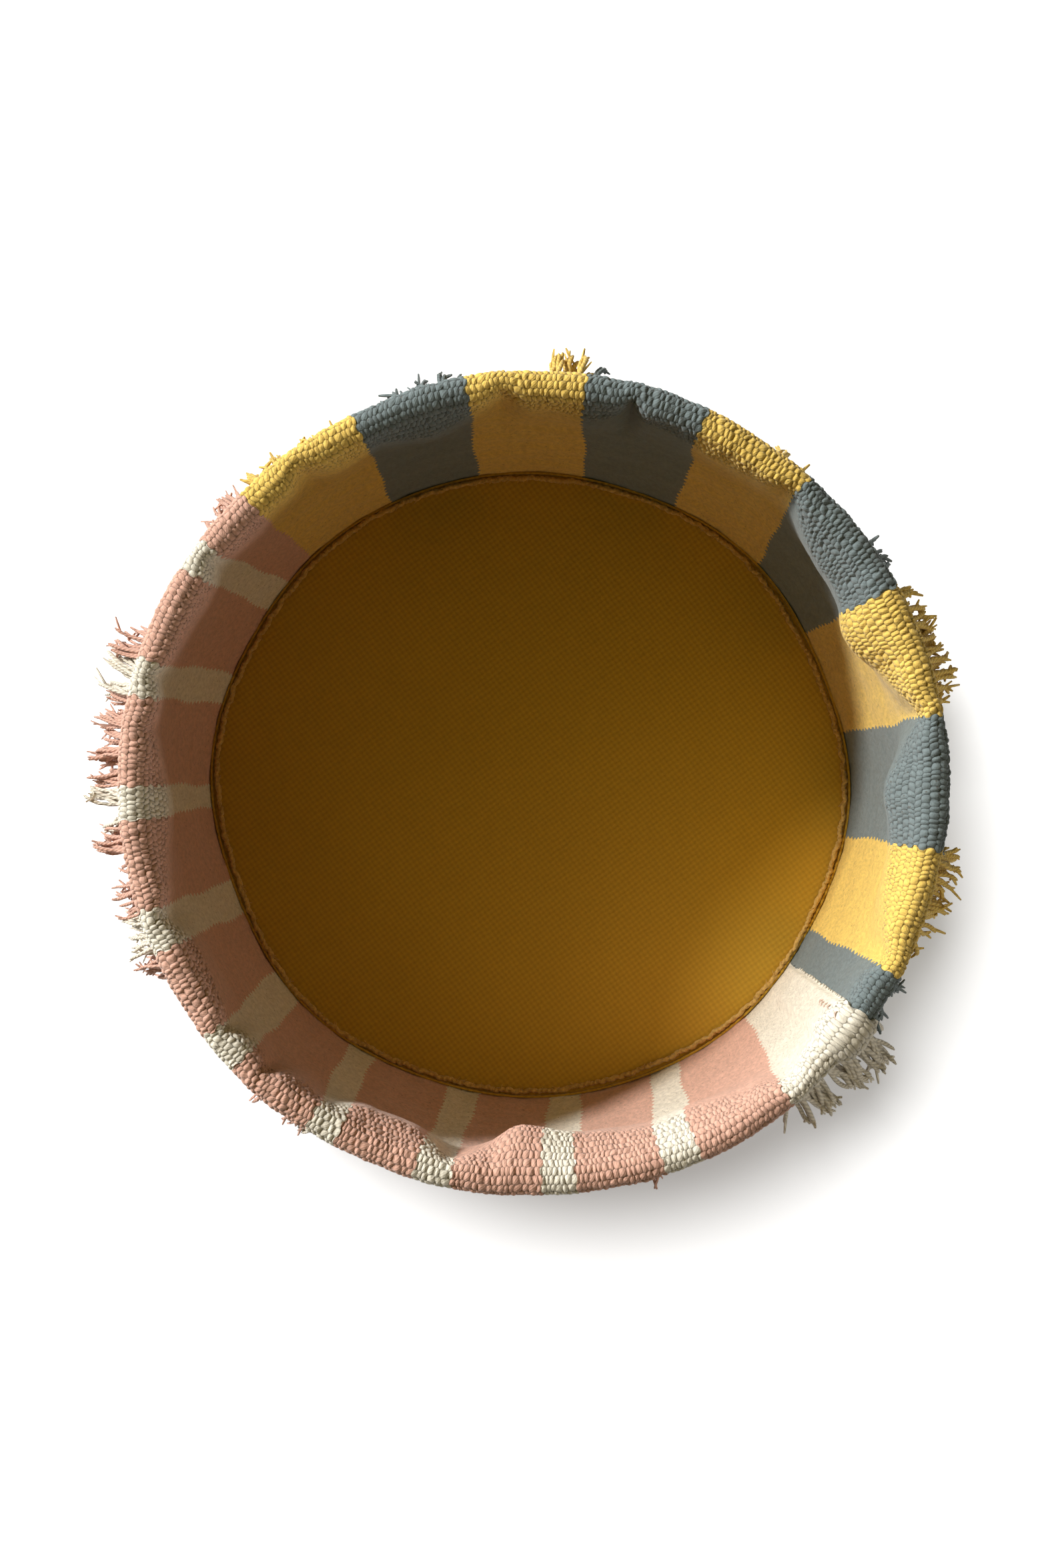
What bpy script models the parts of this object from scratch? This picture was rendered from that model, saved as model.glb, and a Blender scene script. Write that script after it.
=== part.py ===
"""Storage basket of thick, weft-faced cotton cloth with a round canvas base.

The wall is one woven strip that stands on edge in a ring. Its weft runs up the wall, so each
colour of weft makes a band from the floor to the rim, and each band is a node of its own. The
strip's ends lap: the cream end block lies over a tab of the last grey band. Below the rim the
soft wall sinks inwards in bays. At the rim the cloth folds over to the outside as a cuff, and
below the cuff's edge the weft ends hang loose as a fringe in the band's own colour. The foot of
the wall turns in under the floor, a board between canvas discs, and a canvas border turns up
from the floor's raw-edged welt to the wall.

Units are metres, +Z is up and the origin is the middle of the underside. Angles are in degrees,
counter-clockwise from +X, with +Y at the top of the basket as it is seen from above.
"""

import math

import bmesh
import bpy
from mathutils import Vector

# Driving dimensions of the cloth wall
BASKET_HEIGHT = 0.200
RIM_OUTER_RADIUS = 0.2015
CLOTH_THICKNESS = 0.004
CUFF_SPACE = 0.002
CUFF_DEPTH = 0.036
CORNER_INNER_RADIUS = 0.002
HEM_FLAT = 0.009
BAND_GAP = 0.0003

# How far the soft cloth strays from a true ring
WALL_BELLY = 0.0015
WALL_WAVE = 0.0022
RIM_WAVE = 0.0012
FOOT_WAVE = 0.0014
FOOT_INSET = 0.0070
CREST_WAVE = 0.0018
CREST_FALL = 3
BAY_DEPTH = 0.0193
BAY_RUN = 0.032
BAY_FADE = 0.060
BAY_START = 1.3

# The lapped seam of the strip
LAP_WIDTH = 0.020
JOGGLE_WIDTH = 0.006
LAP_END_CLEARANCE = 0.001

# The fringe
TUFT_LENGTH = 0.042
TUFT_PITCH = 0.0079
TUFT_THICKNESS = 0.0032
FRINGE_REACH = 0.031
FRINGE_CURL = 1.25

# The base
CANVAS_THICKNESS = 0.0012
FOOT_CLEARANCE = 0.0005
SEAT_GAP = 0.0003
BORDER_FLAT = 0.0018
BORDER_UPSTAND = 0.002
WELT_HEIGHT = 0.0030
WELT_THICKNESS = 0.0016
WELT_WAVE = 0.0014

# Fineness of the solids: width of a column of faces, a step for measuring a slope, and a weld
COLUMN_WIDTH = 0.0145
SLOPE_STEP = 0.00005
WELD_DISTANCE = 0.00001

# Sizes that follow from the ones above
HALF_CLOTH = CLOTH_THICKNESS / 2
FOLD_RADIUS = (CLOTH_THICKNESS + CUFF_SPACE) / 2
WALL_RADIUS = RIM_OUTER_RADIUS - HALF_CLOTH - 2 * FOLD_RADIUS
CORNER_RADIUS = CORNER_INNER_RADIUS + HALF_CLOTH
HEM_WIDTH = HEM_FLAT + CORNER_RADIUS
HEM_Z = CANVAS_THICKNESS + SEAT_GAP + HALF_CLOTH
CORNER_Z = HEM_Z + CORNER_RADIUS
FOLD_Z = BASKET_HEIGHT - HALF_CLOTH - FOLD_RADIUS
LAP_LIFT = CLOTH_THICKNESS + SEAT_GAP
FLOOR_Z = HEM_Z + HALF_CLOTH + FOOT_CLEARANCE
WELT_RADIUS = WALL_RADIUS - CORNER_RADIUS - BORDER_FLAT
BORDER_BEND = CORNER_INNER_RADIUS - FOOT_CLEARANCE - CANVAS_THICKNESS / 2
BORDER_CORNER = BORDER_BEND * math.pi / 2

# Lengths of the cloth's stretches, measured along its middle line from the hem's edge
HEM_END = HEM_FLAT
CORNER_END = HEM_END + CORNER_RADIUS * math.pi / 2
FOOT_END = CORNER_END + BORDER_UPSTAND + FOOT_CLEARANCE
WALL_END = CORNER_END + FOLD_Z - CORNER_Z
FOLD_END = WALL_END + FOLD_RADIUS * math.pi
CUFF_END = FOLD_END + CUFF_DEPTH - HALF_CLOTH - FOLD_RADIUS
BAY_LINE = FOLD_END - BAY_RUN

# Steps along each stretch
CORNER_STEPS = 3
WALL_STEPS = 3
BAY_STEPS = 2
FOLD_STEPS = 5
CUFF_STEPS = 1
RING_STEPS = 72
FOOT_ROWS = 2 + CORNER_STEPS

# Waves round the basket: waves to the turn, share of the named wave, phase in degrees
WALL_WAVE_SHARES = ((3, 0.45, 20), (4, 0.35, 140), (7, 0.30, 60))
RIM_WAVE_SHARES = ((2, 0.55, 75), (3, 0.30, 200), (5, 0.35, 10), (11, 0.20, 90))
FOOT_WAVE_SHARES = ((1, 0.64, 244), (2, 1.00, 98), (6, 0.64, 131), (8, 0.58, 104))
CREST_WAVE_SHARES = ((2, 0.50, 30), (5, 0.35, 120), (9, 0.25, 250))
WELT_WAVE_SHARES = ((3, 0.40, 145), (4, 0.29, 216), (7, 0.31, 11))

# Bays of the wall below the rim: angle, half width in degrees, share of the bays' depth
BAY_SHARES = (
    (25, 14.5, 1.00),
    (38.5, 10, 0.58),
    (61, 12, 0.24),
    (75.5, 2.5, -0.22),
    (81.5, 7, 0.34),
    (89, 6, 0.16),
    (106.5, 11, 0.52),
    (120, 7, 0.20),
    (138, 6, 0.12),
    (152, 10, 0.18),
    (184, 14, 0.52),
    (208, 9, 0.26),
    (222.5, 4, 0.10),
    (232.5, 6, 0.18),
    (244, 8, 0.50),
    (251, 7, 0.46),
    (268.5, 10.5, 1.06),
    (279, 10, 0.74),
    (288.5, 9, 0.52),
    (297, 9, 0.55),
    (305, 8, 0.16),
    (346, 11, 0.52),
    (358.5, 12.5, 0.90),
)

# Where the fringe stands out past the rim: angle, half width in degrees, share of its reach
FRINGE_SHARES = (
    (18, 11, 0.75),
    (33, 5, 0.65),
    (51, 5, 0.40),
    (86, 7, 0.75),
    (105, 8, 0.50),
    (126, 9, 0.40),
    (138, 7, 0.85),
    (163, 8, 1.00),
    (180, 16, 0.92),
    (200, 12, 0.85),
    (233, 8, 0.45),
    (291, 8, 0.35),
    (319, 11, 1.15),
    (329, 5, 0.65),
    (345, 10, 0.72),
)
HANGING_SHARE = 0.12

# A tuft: its place and breadth at the middle and at the tip, and the shortest one's length
TUFT_SHARES = ((0.45, 0.92), (1.0, 0.60))
SHORTEST_TUFT_SHARE = 0.78
SPREAD_SHARE = 0.618034

# Bands counter-clockwise from the lap: colour, and the angle of the first edge at rim and foot
BANDS = (
    ("grey", -34.8, -34.6),
    ("yellow", -27.9, -27.5),
    ("grey", -9.4, -9.3),
    ("yellow", 9.7, 9.2),
    ("grey", 28.6, 28.8),
    ("yellow", 47.9, 44.2),
    ("grey", 64.8, 62.5),
    ("yellow", 82.5, 80.4),
    ("grey", 99.6, 99.7),
    ("yellow", 116.2, 116.2),
    ("pink", 135.2, 134.2),
    ("cream", 143.7, 140.3),
    ("pink", 148.5, 146.5),
    ("cream", 162.1, 159.8),
    ("pink", 167.5, 165.5),
    ("cream", 180.3, 180.0),
    ("pink", 185.2, 184.2),
    ("cream", 198.1, 197.8),
    ("pink", 204.3, 204.1),
    ("cream", 217.5, 215.9),
    ("pink", 223.4, 223.3),
    ("cream", 236.3, 234.9),
    ("pink", 240.8, 240.3),
    ("cream", 252.8, 254.8),
    ("pink", 258.2, 260.3),
    ("cream", 271.2, 273.2),
    ("pink", 276.2, 279.3),
    ("cream", 288.9, 291.9),
    ("pink", 294.4, 297.8),
    ("cream", 309.1, 312.9),
)

# The look of the cloth: red, green and blue run from 0 to 255, and the angle is in degrees
ROUGHNESS = 0.9
SHARP_ANGLE = 40
COLOURS = {
    "yellow": (233, 196, 101),
    "grey": (124, 136, 138),
    "pink": (217, 170, 151),
    "cream": (240, 231, 216),
    "canvas": (178, 134, 52),
    "raw_edge": (201, 167, 102),
    "board": (163, 151, 130),
}


def clamp(share):
    """A share kept between 0 and 1."""
    return min(max(share, 0.0), 1.0)


def ease(share):
    """A share from 0 to 1 with level ends."""
    share = clamp(share)
    return share * share * (3 - 2 * share)


def wave(angle, shares):
    """Sum of the waves round the basket at an angle."""
    turn = math.radians(angle)
    return sum(share * math.sin(count * turn + math.radians(phase)) for count, share, phase in shares)


def turn_between(angle, centre):
    """Degrees from one angle to another, the short way round."""
    return abs((angle - centre + 180) % 360 - 180)


def bay_share(angle):
    """Share of the full bay depth at an angle."""
    return sum(share * ease(1 - turn_between(angle, centre) / width) for centre, width, share in BAY_SHARES)


def fringe_share(angle):
    """Share of the fringe's reach at an angle."""
    share = HANGING_SHARE
    for centre, width, most in FRINGE_SHARES:
        share = max(share, most * ease(2 - 2 * turn_between(angle, centre) / width))
    return share


def drift(angle, height):
    """How far the wall stands outside its true ring at a height."""
    up = clamp(height / BASKET_HEIGHT)
    foot = (FOOT_WAVE * wave(angle, FOOT_WAVE_SHARES) - FOOT_INSET) * (1 - up)
    belly = (WALL_BELLY + WALL_WAVE * wave(angle, WALL_WAVE_SHARES)) * math.sin(math.pi * up)
    rim = RIM_WAVE * wave(angle, RIM_WAVE_SHARES) * up
    return foot + belly + rim


def rise(angle, height):
    """How far the cloth stands above its true height."""
    up = clamp(height / BASKET_HEIGHT)
    return CREST_WAVE * wave(angle, CREST_WAVE_SHARES) * up ** CREST_FALL


def bay(angle, run):
    """How far the soft wall sinks inwards, from the fold down to the bay's deepest line and below it."""
    below = FOLD_END - run
    sunk = math.sin(clamp(below / BAY_RUN) * math.pi / 2) ** BAY_START
    return BAY_DEPTH * bay_share(angle) * sunk * ease((BAY_RUN + BAY_FADE - below) / BAY_FADE)


def section(run, angle):
    """Middle line of the cloth: out from the wall line, height, and the facing of its right side."""
    if run < HEM_END:
        return run - HEM_WIDTH, HEM_Z, 0.0, 1.0
    if run < CORNER_END:
        turn = (run - HEM_END) / CORNER_RADIUS
        out = CORNER_RADIUS * (math.sin(turn) - 1)
        height = CORNER_Z - CORNER_RADIUS * math.cos(turn)
        return out, height, -math.sin(turn), math.cos(turn)
    if run < WALL_END:
        return 0.0, CORNER_Z + run - CORNER_END, -1.0, 0.0
    if run < FOLD_END:
        turn = (run - WALL_END) / FOLD_RADIUS
        out = FOLD_RADIUS * (1 - math.cos(turn))
        height = FOLD_Z + FOLD_RADIUS * math.sin(turn)
        return out, height, -math.cos(turn), math.sin(turn)
    if run < CUFF_END:
        return 2 * FOLD_RADIUS, FOLD_Z - run + FOLD_END, 1.0, 0.0
    hang = run - CUFF_END
    out = FRINGE_REACH * fringe_share(angle) * (hang / TUFT_LENGTH) ** FRINGE_CURL
    down = math.sqrt(max(hang * hang - out * out, 0.0))
    return 2 * FOLD_RADIUS + out, FOLD_Z - CUFF_END + FOLD_END - down, 1.0, 0.0


def cloth_point(angle, run, lift):
    """Point of the cloth's middle layer, lifted off it towards its right side."""
    out, height, facing_out, facing_up = section(run, angle)
    radius = WALL_RADIUS + out + facing_out * lift + drift(angle, height) - bay(angle, run)
    height += facing_up * lift + rise(angle, height)
    turn = math.radians(angle)
    return Vector((radius * math.cos(turn), radius * math.sin(turn), height))


def border_point(angle, run, lift):
    """Point of the canvas border: level from the welt, round the corner and up the wall."""
    flat = BORDER_FLAT - SEAT_GAP / 2 - WELT_WAVE * wave(angle, WELT_WAVE_SHARES)
    level = flat * clamp(run / BORDER_FLAT) - flat
    turn = clamp((run - BORDER_FLAT) / BORDER_CORNER) * math.pi / 2
    climb = max(run - BORDER_FLAT - BORDER_CORNER, 0.0)
    height = CORNER_Z - BORDER_BEND * math.cos(turn) + climb
    radius = WALL_RADIUS - CORNER_RADIUS + level + BORDER_BEND * math.sin(turn) + drift(angle, height)
    radius -= math.sin(turn) * lift
    height += math.cos(turn) * lift
    swing = math.radians(angle)
    return Vector((radius * math.cos(swing), radius * math.sin(swing), height))


def welt_point(angle, run, lift):
    """Point of the raw edge that stands up along the welt."""
    radius = welt_radius(angle) - lift
    height = FLOOR_Z + CANVAS_THICKNESS + SEAT_GAP + run
    swing = math.radians(angle)
    return Vector((radius * math.cos(swing), radius * math.sin(swing), height))


def welt_radius(angle):
    """Radius of the seam between the floor canvas and its border."""
    return WELT_RADIUS + drift(angle, FLOOR_Z) + WELT_WAVE * wave(angle, WELT_WAVE_SHARES)


def faced_point(point, angle, run, lift, offset):
    """Point at an offset square to a surface, on its right side for a positive offset."""
    swing = math.degrees(SLOPE_STEP / WALL_RADIUS)
    along = point(angle + swing, run, lift) - point(angle - swing, run, lift)
    across = point(angle, run + SLOPE_STEP, lift) - point(angle, run - SLOPE_STEP, lift)
    return point(angle, run, lift) + along.cross(across).normalized() * -offset


def stretch(start, end, steps):
    """Even stations after a start, up to an end."""
    return [start + (end - start) * step / steps for step in range(1, steps + 1)]


def cloth_runs():
    """Stations of the cloth from its hem to the cuff's edge."""
    return (
        [0.0, HEM_END]
        + stretch(HEM_END, CORNER_END, CORNER_STEPS)
        + [FOOT_END]
        + stretch(FOOT_END, BAY_LINE, WALL_STEPS)
        + stretch(BAY_LINE, WALL_END, BAY_STEPS)
        + stretch(WALL_END, FOLD_END, FOLD_STEPS)
        + stretch(FOLD_END, CUFF_END, CUFF_STEPS)
    )


def degrees_round(arc):
    """Degrees that an arc along the wall spans."""
    return math.degrees(arc / WALL_RADIUS)


def even_columns(start, end):
    """Columns of about the named width from one place to another, in degrees."""
    arc = math.radians(end - start) * WALL_RADIUS
    return [start] + stretch(start, end, max(2, round(arc / COLUMN_WIDTH)))


def flat_grid(columns, row_count):
    """Open grid whose x is the place across it in degrees and whose y is the row."""
    mesh = bmesh.new()
    bmesh.ops.create_grid(mesh, x_segments=len(columns) - 1, y_segments=row_count - 1, size=1)
    for vert in mesh.verts:
        column = round((vert.co.x + 1) / 2 * (len(columns) - 1))
        row = round((vert.co.y + 1) / 2 * (row_count - 1))
        vert.co = Vector((columns[column], row, 0))
    return mesh


def spread(seed):
    """Even-looking share between 0 and 1 for a number."""
    return seed * SPREAD_SHARE % 1.0


def lowest_edges(mesh, row, start, end):
    """Edges along a row between two places, from first to last."""
    found = []
    for edge in mesh.edges:
        middle = sum(vert.co.x for vert in edge.verts) / 2
        if all(vert.co.y == row for vert in edge.verts) and start < middle < end:
            found.append(edge)
    return sorted(found, key=lambda edge: min(vert.co.x for vert in edge.verts))


def add_tufts(mesh, columns, row, seed):
    """Loose ends hung from every other piece of the cuff's lower edge."""
    for start, end in zip(columns, columns[1:]):
        arc = math.radians(end - start) * RIM_OUTER_RADIUS
        count = max(1, round(arc / TUFT_PITCH))
        bmesh.ops.subdivide_edges(mesh, edges=lowest_edges(mesh, row, start, end), cuts=2 * count - 1)
        for number, root in enumerate(lowest_edges(mesh, row, start, end)[::2]):
            hang_tuft(mesh, root, row, seed + start + number)


def hang_tuft(mesh, root, row, seed):
    """One tuft: a middle and a narrower tip below a piece of the cuff's edge."""
    places = [vert.co.x for vert in root.verts]
    width = max(places) - min(places)
    middle = sum(places) / 2
    lean = (spread(seed) - 0.5) * width
    length = SHORTEST_TUFT_SHARE + (1 - SHORTEST_TUFT_SHARE) * spread(seed * 3)
    for depth, breadth in TUFT_SHARES:
        centre = sum(vert.co.x for vert in root.verts) / 2
        grown = bmesh.ops.extrude_edge_only(mesh, edges=[root])["geom"]
        tips = [item for item in grown if isinstance(item, bmesh.types.BMVert)]
        root = next(item for item in grown if isinstance(item, bmesh.types.BMEdge))
        for vert in tips:
            side = math.copysign(1, vert.co.x - centre)
            vert.co.x = middle + lean * depth + side * width * breadth / 2
            vert.co.y = row + length * depth


def give_two_sides(mesh):
    """Close an open grid into a flat solid: z is -1 on the wrong side and 1 on the right side."""
    for vert in mesh.verts:
        vert.co.z = -1
    copy = bmesh.ops.extrude_face_region(mesh, geom=mesh.faces[:])
    for item in copy["geom"]:
        if isinstance(item, bmesh.types.BMVert):
            item.co.z = 1


def finish(mesh, name, colour, collection):
    """Object with a material of its own from a closed mesh."""
    bmesh.ops.recalc_face_normals(mesh, faces=mesh.faces)
    if mesh.calc_volume(signed=True) < 0:
        bmesh.ops.reverse_faces(mesh, faces=mesh.faces)
    bmesh.ops.triangulate(mesh, faces=mesh.faces, quad_method="SHORT_EDGE")
    data = bpy.data.meshes.new(name)
    mesh.to_mesh(data)
    mesh.free()
    data.shade_smooth()
    data.set_sharp_from_angle(angle=math.radians(SHARP_ANGLE))
    data.materials.append(cloth_material(name, colour))
    piece = bpy.data.objects.new(name, data)
    collection.objects.link(piece)
    return piece


def linear(value):
    """Linear light for a screen value from 0 to 255."""
    share = value / 255
    return share / 12.92 if share <= 0.04045 else ((share + 0.055) / 1.055) ** 2.4


def cloth_material(name, colour):
    """Matt cotton in one of the basket's colours."""
    material = bpy.data.materials.new(name + "_cloth")
    material.use_nodes = True
    shader = material.node_tree.nodes["Principled BSDF"]
    shader.inputs["Base Color"].default_value = (*(linear(value) for value in COLOURS[colour]), 1)
    shader.inputs["Roughness"].default_value = ROUGHNESS
    shader.inputs["Metallic"].default_value = 0
    return material


def band_angle(place, run, band):
    """Angle of a place across a band; the band leans, but the lap keeps its width."""
    up = clamp((run - CORNER_END) / (WALL_END - CORNER_END))
    start = band["foot"][0] + (band["rim"][0] - band["foot"][0]) * up
    end = band["foot"][1] + (band["rim"][1] - band["foot"][1]) * up
    width = band["rim"][1] - band["rim"][0]
    free = width - band["lap"]
    if place < 0:
        return start + place
    if place > free:
        return end - width + place
    return start + place * (end - band["lap"] - start) / free


def band_place(vert, band, runs, lift_of):
    """Where a point of a band's flat solid lies on the basket."""
    row = min(int(vert.co.y), len(runs) - 1)
    run = runs[row] + (vert.co.y - row) * TUFT_LENGTH
    angle = band_angle(vert.co.x, run, band)
    hang = clamp((run - CUFF_END) / TUFT_LENGTH)
    half = HALF_CLOTH + (TUFT_THICKNESS / 2 - HALF_CLOTH) * math.sqrt(hang)
    return faced_point(cloth_point, angle, run, lift_of(vert.co.x, row), vert.co.z * half)


def no_lift(place, row):
    """A band that lies in the cloth's middle layer."""
    return 0.0


def band_edges(number):
    """First and last edge of a band at the rim and at the foot, with the gaps between bands."""
    gap = degrees_round(BAND_GAP) / 2
    colour, rim_start, foot_start = BANDS[number]
    following = BANDS[(number + 1) % len(BANDS)]
    turns = 0 if number + 1 < len(BANDS) else 360
    return {
        "rim": (rim_start + gap, following[1] + turns - gap),
        "foot": (foot_start + gap, following[2] + turns - gap),
        "lap": 0.0,
    }


def add_band(name, number, collection):
    """A band of one colour of weft, from the hem under the floor to its own fringe."""
    band = band_edges(number)
    columns = even_columns(0.0, band["rim"][1] - band["rim"][0])
    finish_band(name, number, band, columns, columns, no_lift, collection)


def add_lapped_band(name, number, collection):
    """The first band, which runs on as a tab under the cream end block."""
    band = band_edges(number)
    columns = even_columns(0.0, band["rim"][1] - band["rim"][0])
    tab = even_columns(-degrees_round(LAP_WIDTH - LAP_END_CLEARANCE), 0.0)
    finish_band(name, number, band, tab[:-1] + columns, columns, no_lift, collection)


def add_lapping_band(name, number, collection):
    """The end block, whose last stretch steps up over the first band's tab."""
    band = band_edges(number)
    width = band["rim"][1] - band["rim"][0]
    lap = width - degrees_round(LAP_WIDTH)
    step = lap - degrees_round(JOGGLE_WIDTH)
    band["lap"] = width - step
    columns = even_columns(0.0, step) + even_columns(lap, width)

    def lift_of(place, row):
        return LAP_LIFT * clamp((place - step) / (lap - step)) if row > FOOT_ROWS else 0.0

    finish_band(name, number, band, columns, columns, lift_of, collection)


def finish_band(name, number, band, columns, fringed, lift_of, collection):
    """Shape a band's grid, with a fringe below some of its columns, and place it."""
    runs = cloth_runs()
    mesh = flat_grid(columns, len(runs))
    tab_foot = [face for face in mesh.faces if face.calc_center_median().x < 0]
    tab_foot = [face for face in tab_foot if face.calc_center_median().y < FOOT_ROWS + 1]
    bmesh.ops.delete(mesh, geom=tab_foot, context="FACES")
    add_tufts(mesh, fringed, len(runs) - 1, number)
    give_two_sides(mesh)
    for vert in mesh.verts:
        vert.co = band_place(vert, band, runs, lift_of)
    finish(mesh, name, BANDS[number][0], collection)


def add_ring(name, colour, point, runs, thickness, collection):
    """A closed ring of thin canvas that follows a surface."""
    columns = [0.0] + stretch(0.0, 360.0, RING_STEPS)
    mesh = flat_grid(columns, len(runs))
    give_two_sides(mesh)
    seam = [face for face in mesh.faces if len({vert.co.x for vert in face.verts}) == 1]
    bmesh.ops.delete(mesh, geom=seam, context="FACES")
    for vert in mesh.verts:
        run = runs[round(vert.co.y)]
        vert.co = faced_point(point, vert.co.x, run, 0.0, vert.co.z * thickness / 2)
    bmesh.ops.remove_doubles(mesh, verts=mesh.verts, dist=WELD_DISTANCE)
    finish(mesh, name, colour, collection)


def add_disc(name, colour, radius_at, bottom, thickness, collection):
    """A flat sheet or board whose edge follows a radius."""
    mesh = bmesh.new()
    bmesh.ops.create_circle(mesh, cap_ends=True, segments=RING_STEPS, radius=1)
    for vert in mesh.verts:
        angle = math.degrees(math.atan2(vert.co.y, vert.co.x))
        vert.co = vert.co.normalized() * radius_at(angle)
        vert.co.z = bottom
    copy = bmesh.ops.extrude_face_region(mesh, geom=mesh.faces[:])
    for item in copy["geom"]:
        if isinstance(item, bmesh.types.BMVert):
            item.co.z = bottom + thickness
    finish(mesh, name, colour, collection)


def under_radius(angle):
    """Edge of the canvas under the basket, out to where the cloth turns up."""
    return WALL_RADIUS - CORNER_RADIUS / 2 + drift(angle, HEM_Z)


def board_radius(angle):
    """Edge of the board inside the turned hem."""
    return WALL_RADIUS - HEM_WIDTH - FOOT_CLEARANCE + drift(angle, HEM_Z)


def floor_radius(angle):
    """Edge of the floor canvas at its seam."""
    return welt_radius(angle) - SEAT_GAP / 2


def add_base(collection):
    """The base from the underside up: canvas, board, floor canvas, its border and the welt."""
    hem_bottom = HEM_Z - HALF_CLOTH
    add_disc("base_canvas_under", "canvas", under_radius, 0.0, CANVAS_THICKNESS, collection)
    add_disc("base_stiffener", "board", board_radius, hem_bottom, CLOTH_THICKNESS, collection)
    add_disc("base_canvas_floor", "canvas", floor_radius, FLOOR_Z, CANVAS_THICKNESS, collection)
    corner = BORDER_FLAT + BORDER_CORNER
    border = [0.0, BORDER_FLAT] + stretch(BORDER_FLAT, corner, CORNER_STEPS) + [corner + BORDER_UPSTAND]
    add_ring("base_canvas_border", "canvas", border_point, border, CANVAS_THICKNESS, collection)
    add_ring("base_welt", "raw_edge", welt_point, [0.0, WELT_HEIGHT], WELT_THICKNESS, collection)


def add_wall(collection):
    """All the bands of the woven strip, each numbered within its colour."""
    counts = {}
    last = len(BANDS) - 1
    for number, (colour, _, _) in enumerate(BANDS):
        counts[colour] = counts.get(colour, 0) + 1
        name = f"wall_{colour}_{counts[colour]}"
        if number == 0:
            add_lapped_band(name, number, collection)
        elif number == last:
            add_lapping_band("wall_cream_end_block", number, collection)
        else:
            add_band(name, number, collection)


def main():
    """Clear the scene and build the basket."""
    for piece in list(bpy.data.objects):
        bpy.data.objects.remove(piece, do_unlink=True)
    collection = bpy.data.collections.new("storage_basket")
    bpy.context.scene.collection.children.link(collection)
    add_base(collection)
    add_wall(collection)


main()
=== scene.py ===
"""Looks of the storage basket: woven cotton wall, folded rim, loose fringe and canvas base.

Every band of the wall is rebuilt as thick cloth with its own stitches, on the surface that the
solids follow, with a rounder rim between its pinched places. Units are metres, +Z is up, and
angles are in degrees from +X.
"""

import math

import bmesh
import bpy
import numpy as np
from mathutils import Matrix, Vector


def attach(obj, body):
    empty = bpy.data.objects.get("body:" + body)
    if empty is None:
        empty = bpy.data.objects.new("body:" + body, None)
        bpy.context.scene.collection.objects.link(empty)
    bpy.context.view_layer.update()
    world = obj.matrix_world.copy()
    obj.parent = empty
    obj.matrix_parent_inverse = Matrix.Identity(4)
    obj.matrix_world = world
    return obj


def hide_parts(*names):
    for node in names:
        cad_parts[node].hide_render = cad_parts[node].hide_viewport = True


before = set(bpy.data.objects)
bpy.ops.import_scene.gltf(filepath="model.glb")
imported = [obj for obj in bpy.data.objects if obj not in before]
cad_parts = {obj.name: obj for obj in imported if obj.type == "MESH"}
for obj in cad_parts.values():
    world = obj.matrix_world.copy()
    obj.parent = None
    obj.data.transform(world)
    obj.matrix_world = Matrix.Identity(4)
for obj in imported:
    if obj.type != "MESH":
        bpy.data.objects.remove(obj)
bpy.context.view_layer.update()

# The basket, as the solids have it
BASKET_HEIGHT = 0.200
RIM_OUTER_RADIUS = 0.2015
CLOTH_THICKNESS = 0.004
CUFF_SPACE = 0.002
CUFF_DEPTH = 0.036
CORNER_INNER_RADIUS = 0.002
HEM_FLAT = 0.009
WALL_BELLY = 0.0015
WALL_WAVE = 0.0022
RIM_WAVE = 0.0012
FOOT_WAVE = 0.0014
FOOT_INSET = 0.0070
CREST_WAVE = 0.0018
CREST_FALL = 3
BAY_DEPTH = 0.0193
BAY_RUN = 0.032
BAY_FADE = 0.060
BAY_START = 1.3
LAP_WIDTH = 0.020
JOGGLE_WIDTH = 0.006
LAP_END_CLEARANCE = 0.001
TUFT_LENGTH = 0.042
FRINGE_REACH = 0.031
FRINGE_CURL = 1.25
CANVAS_THICKNESS = 0.0012
FOOT_CLEARANCE = 0.0005
SEAT_GAP = 0.0003
BORDER_FLAT = 0.0018
BORDER_UPSTAND = 0.002
WELT_HEIGHT = 0.0030
WELT_THICKNESS = 0.0016
WELT_WAVE = 0.0014
WALL_STEPS = 3

# The rim's roll between its pinched places, which the solids don't have: how far in it reaches, the
# runs in which it comes and goes, and how much sooner than at its full depth a bay takes it away
SHOULDER = 0.0050
SHOULDER_RUN = 0.012
SHOULDER_FADE = 0.070
BAY_OVER_ROLL = 1.6

HALF_CLOTH = CLOTH_THICKNESS / 2
FOLD_RADIUS = (CLOTH_THICKNESS + CUFF_SPACE) / 2
WALL_RADIUS = RIM_OUTER_RADIUS - HALF_CLOTH - 2 * FOLD_RADIUS
CORNER_RADIUS = CORNER_INNER_RADIUS + HALF_CLOTH
HEM_WIDTH = HEM_FLAT + CORNER_RADIUS
HEM_Z = CANVAS_THICKNESS + SEAT_GAP + HALF_CLOTH
CORNER_Z = HEM_Z + CORNER_RADIUS
FOLD_Z = BASKET_HEIGHT - HALF_CLOTH - FOLD_RADIUS
LAP_LIFT = CLOTH_THICKNESS + SEAT_GAP
FLOOR_Z = HEM_Z + HALF_CLOTH + FOOT_CLEARANCE
WELT_RADIUS = WALL_RADIUS - CORNER_RADIUS - BORDER_FLAT
BORDER_BEND = CORNER_INNER_RADIUS - FOOT_CLEARANCE - CANVAS_THICKNESS / 2
BORDER_CORNER = BORDER_BEND * math.pi / 2

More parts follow.
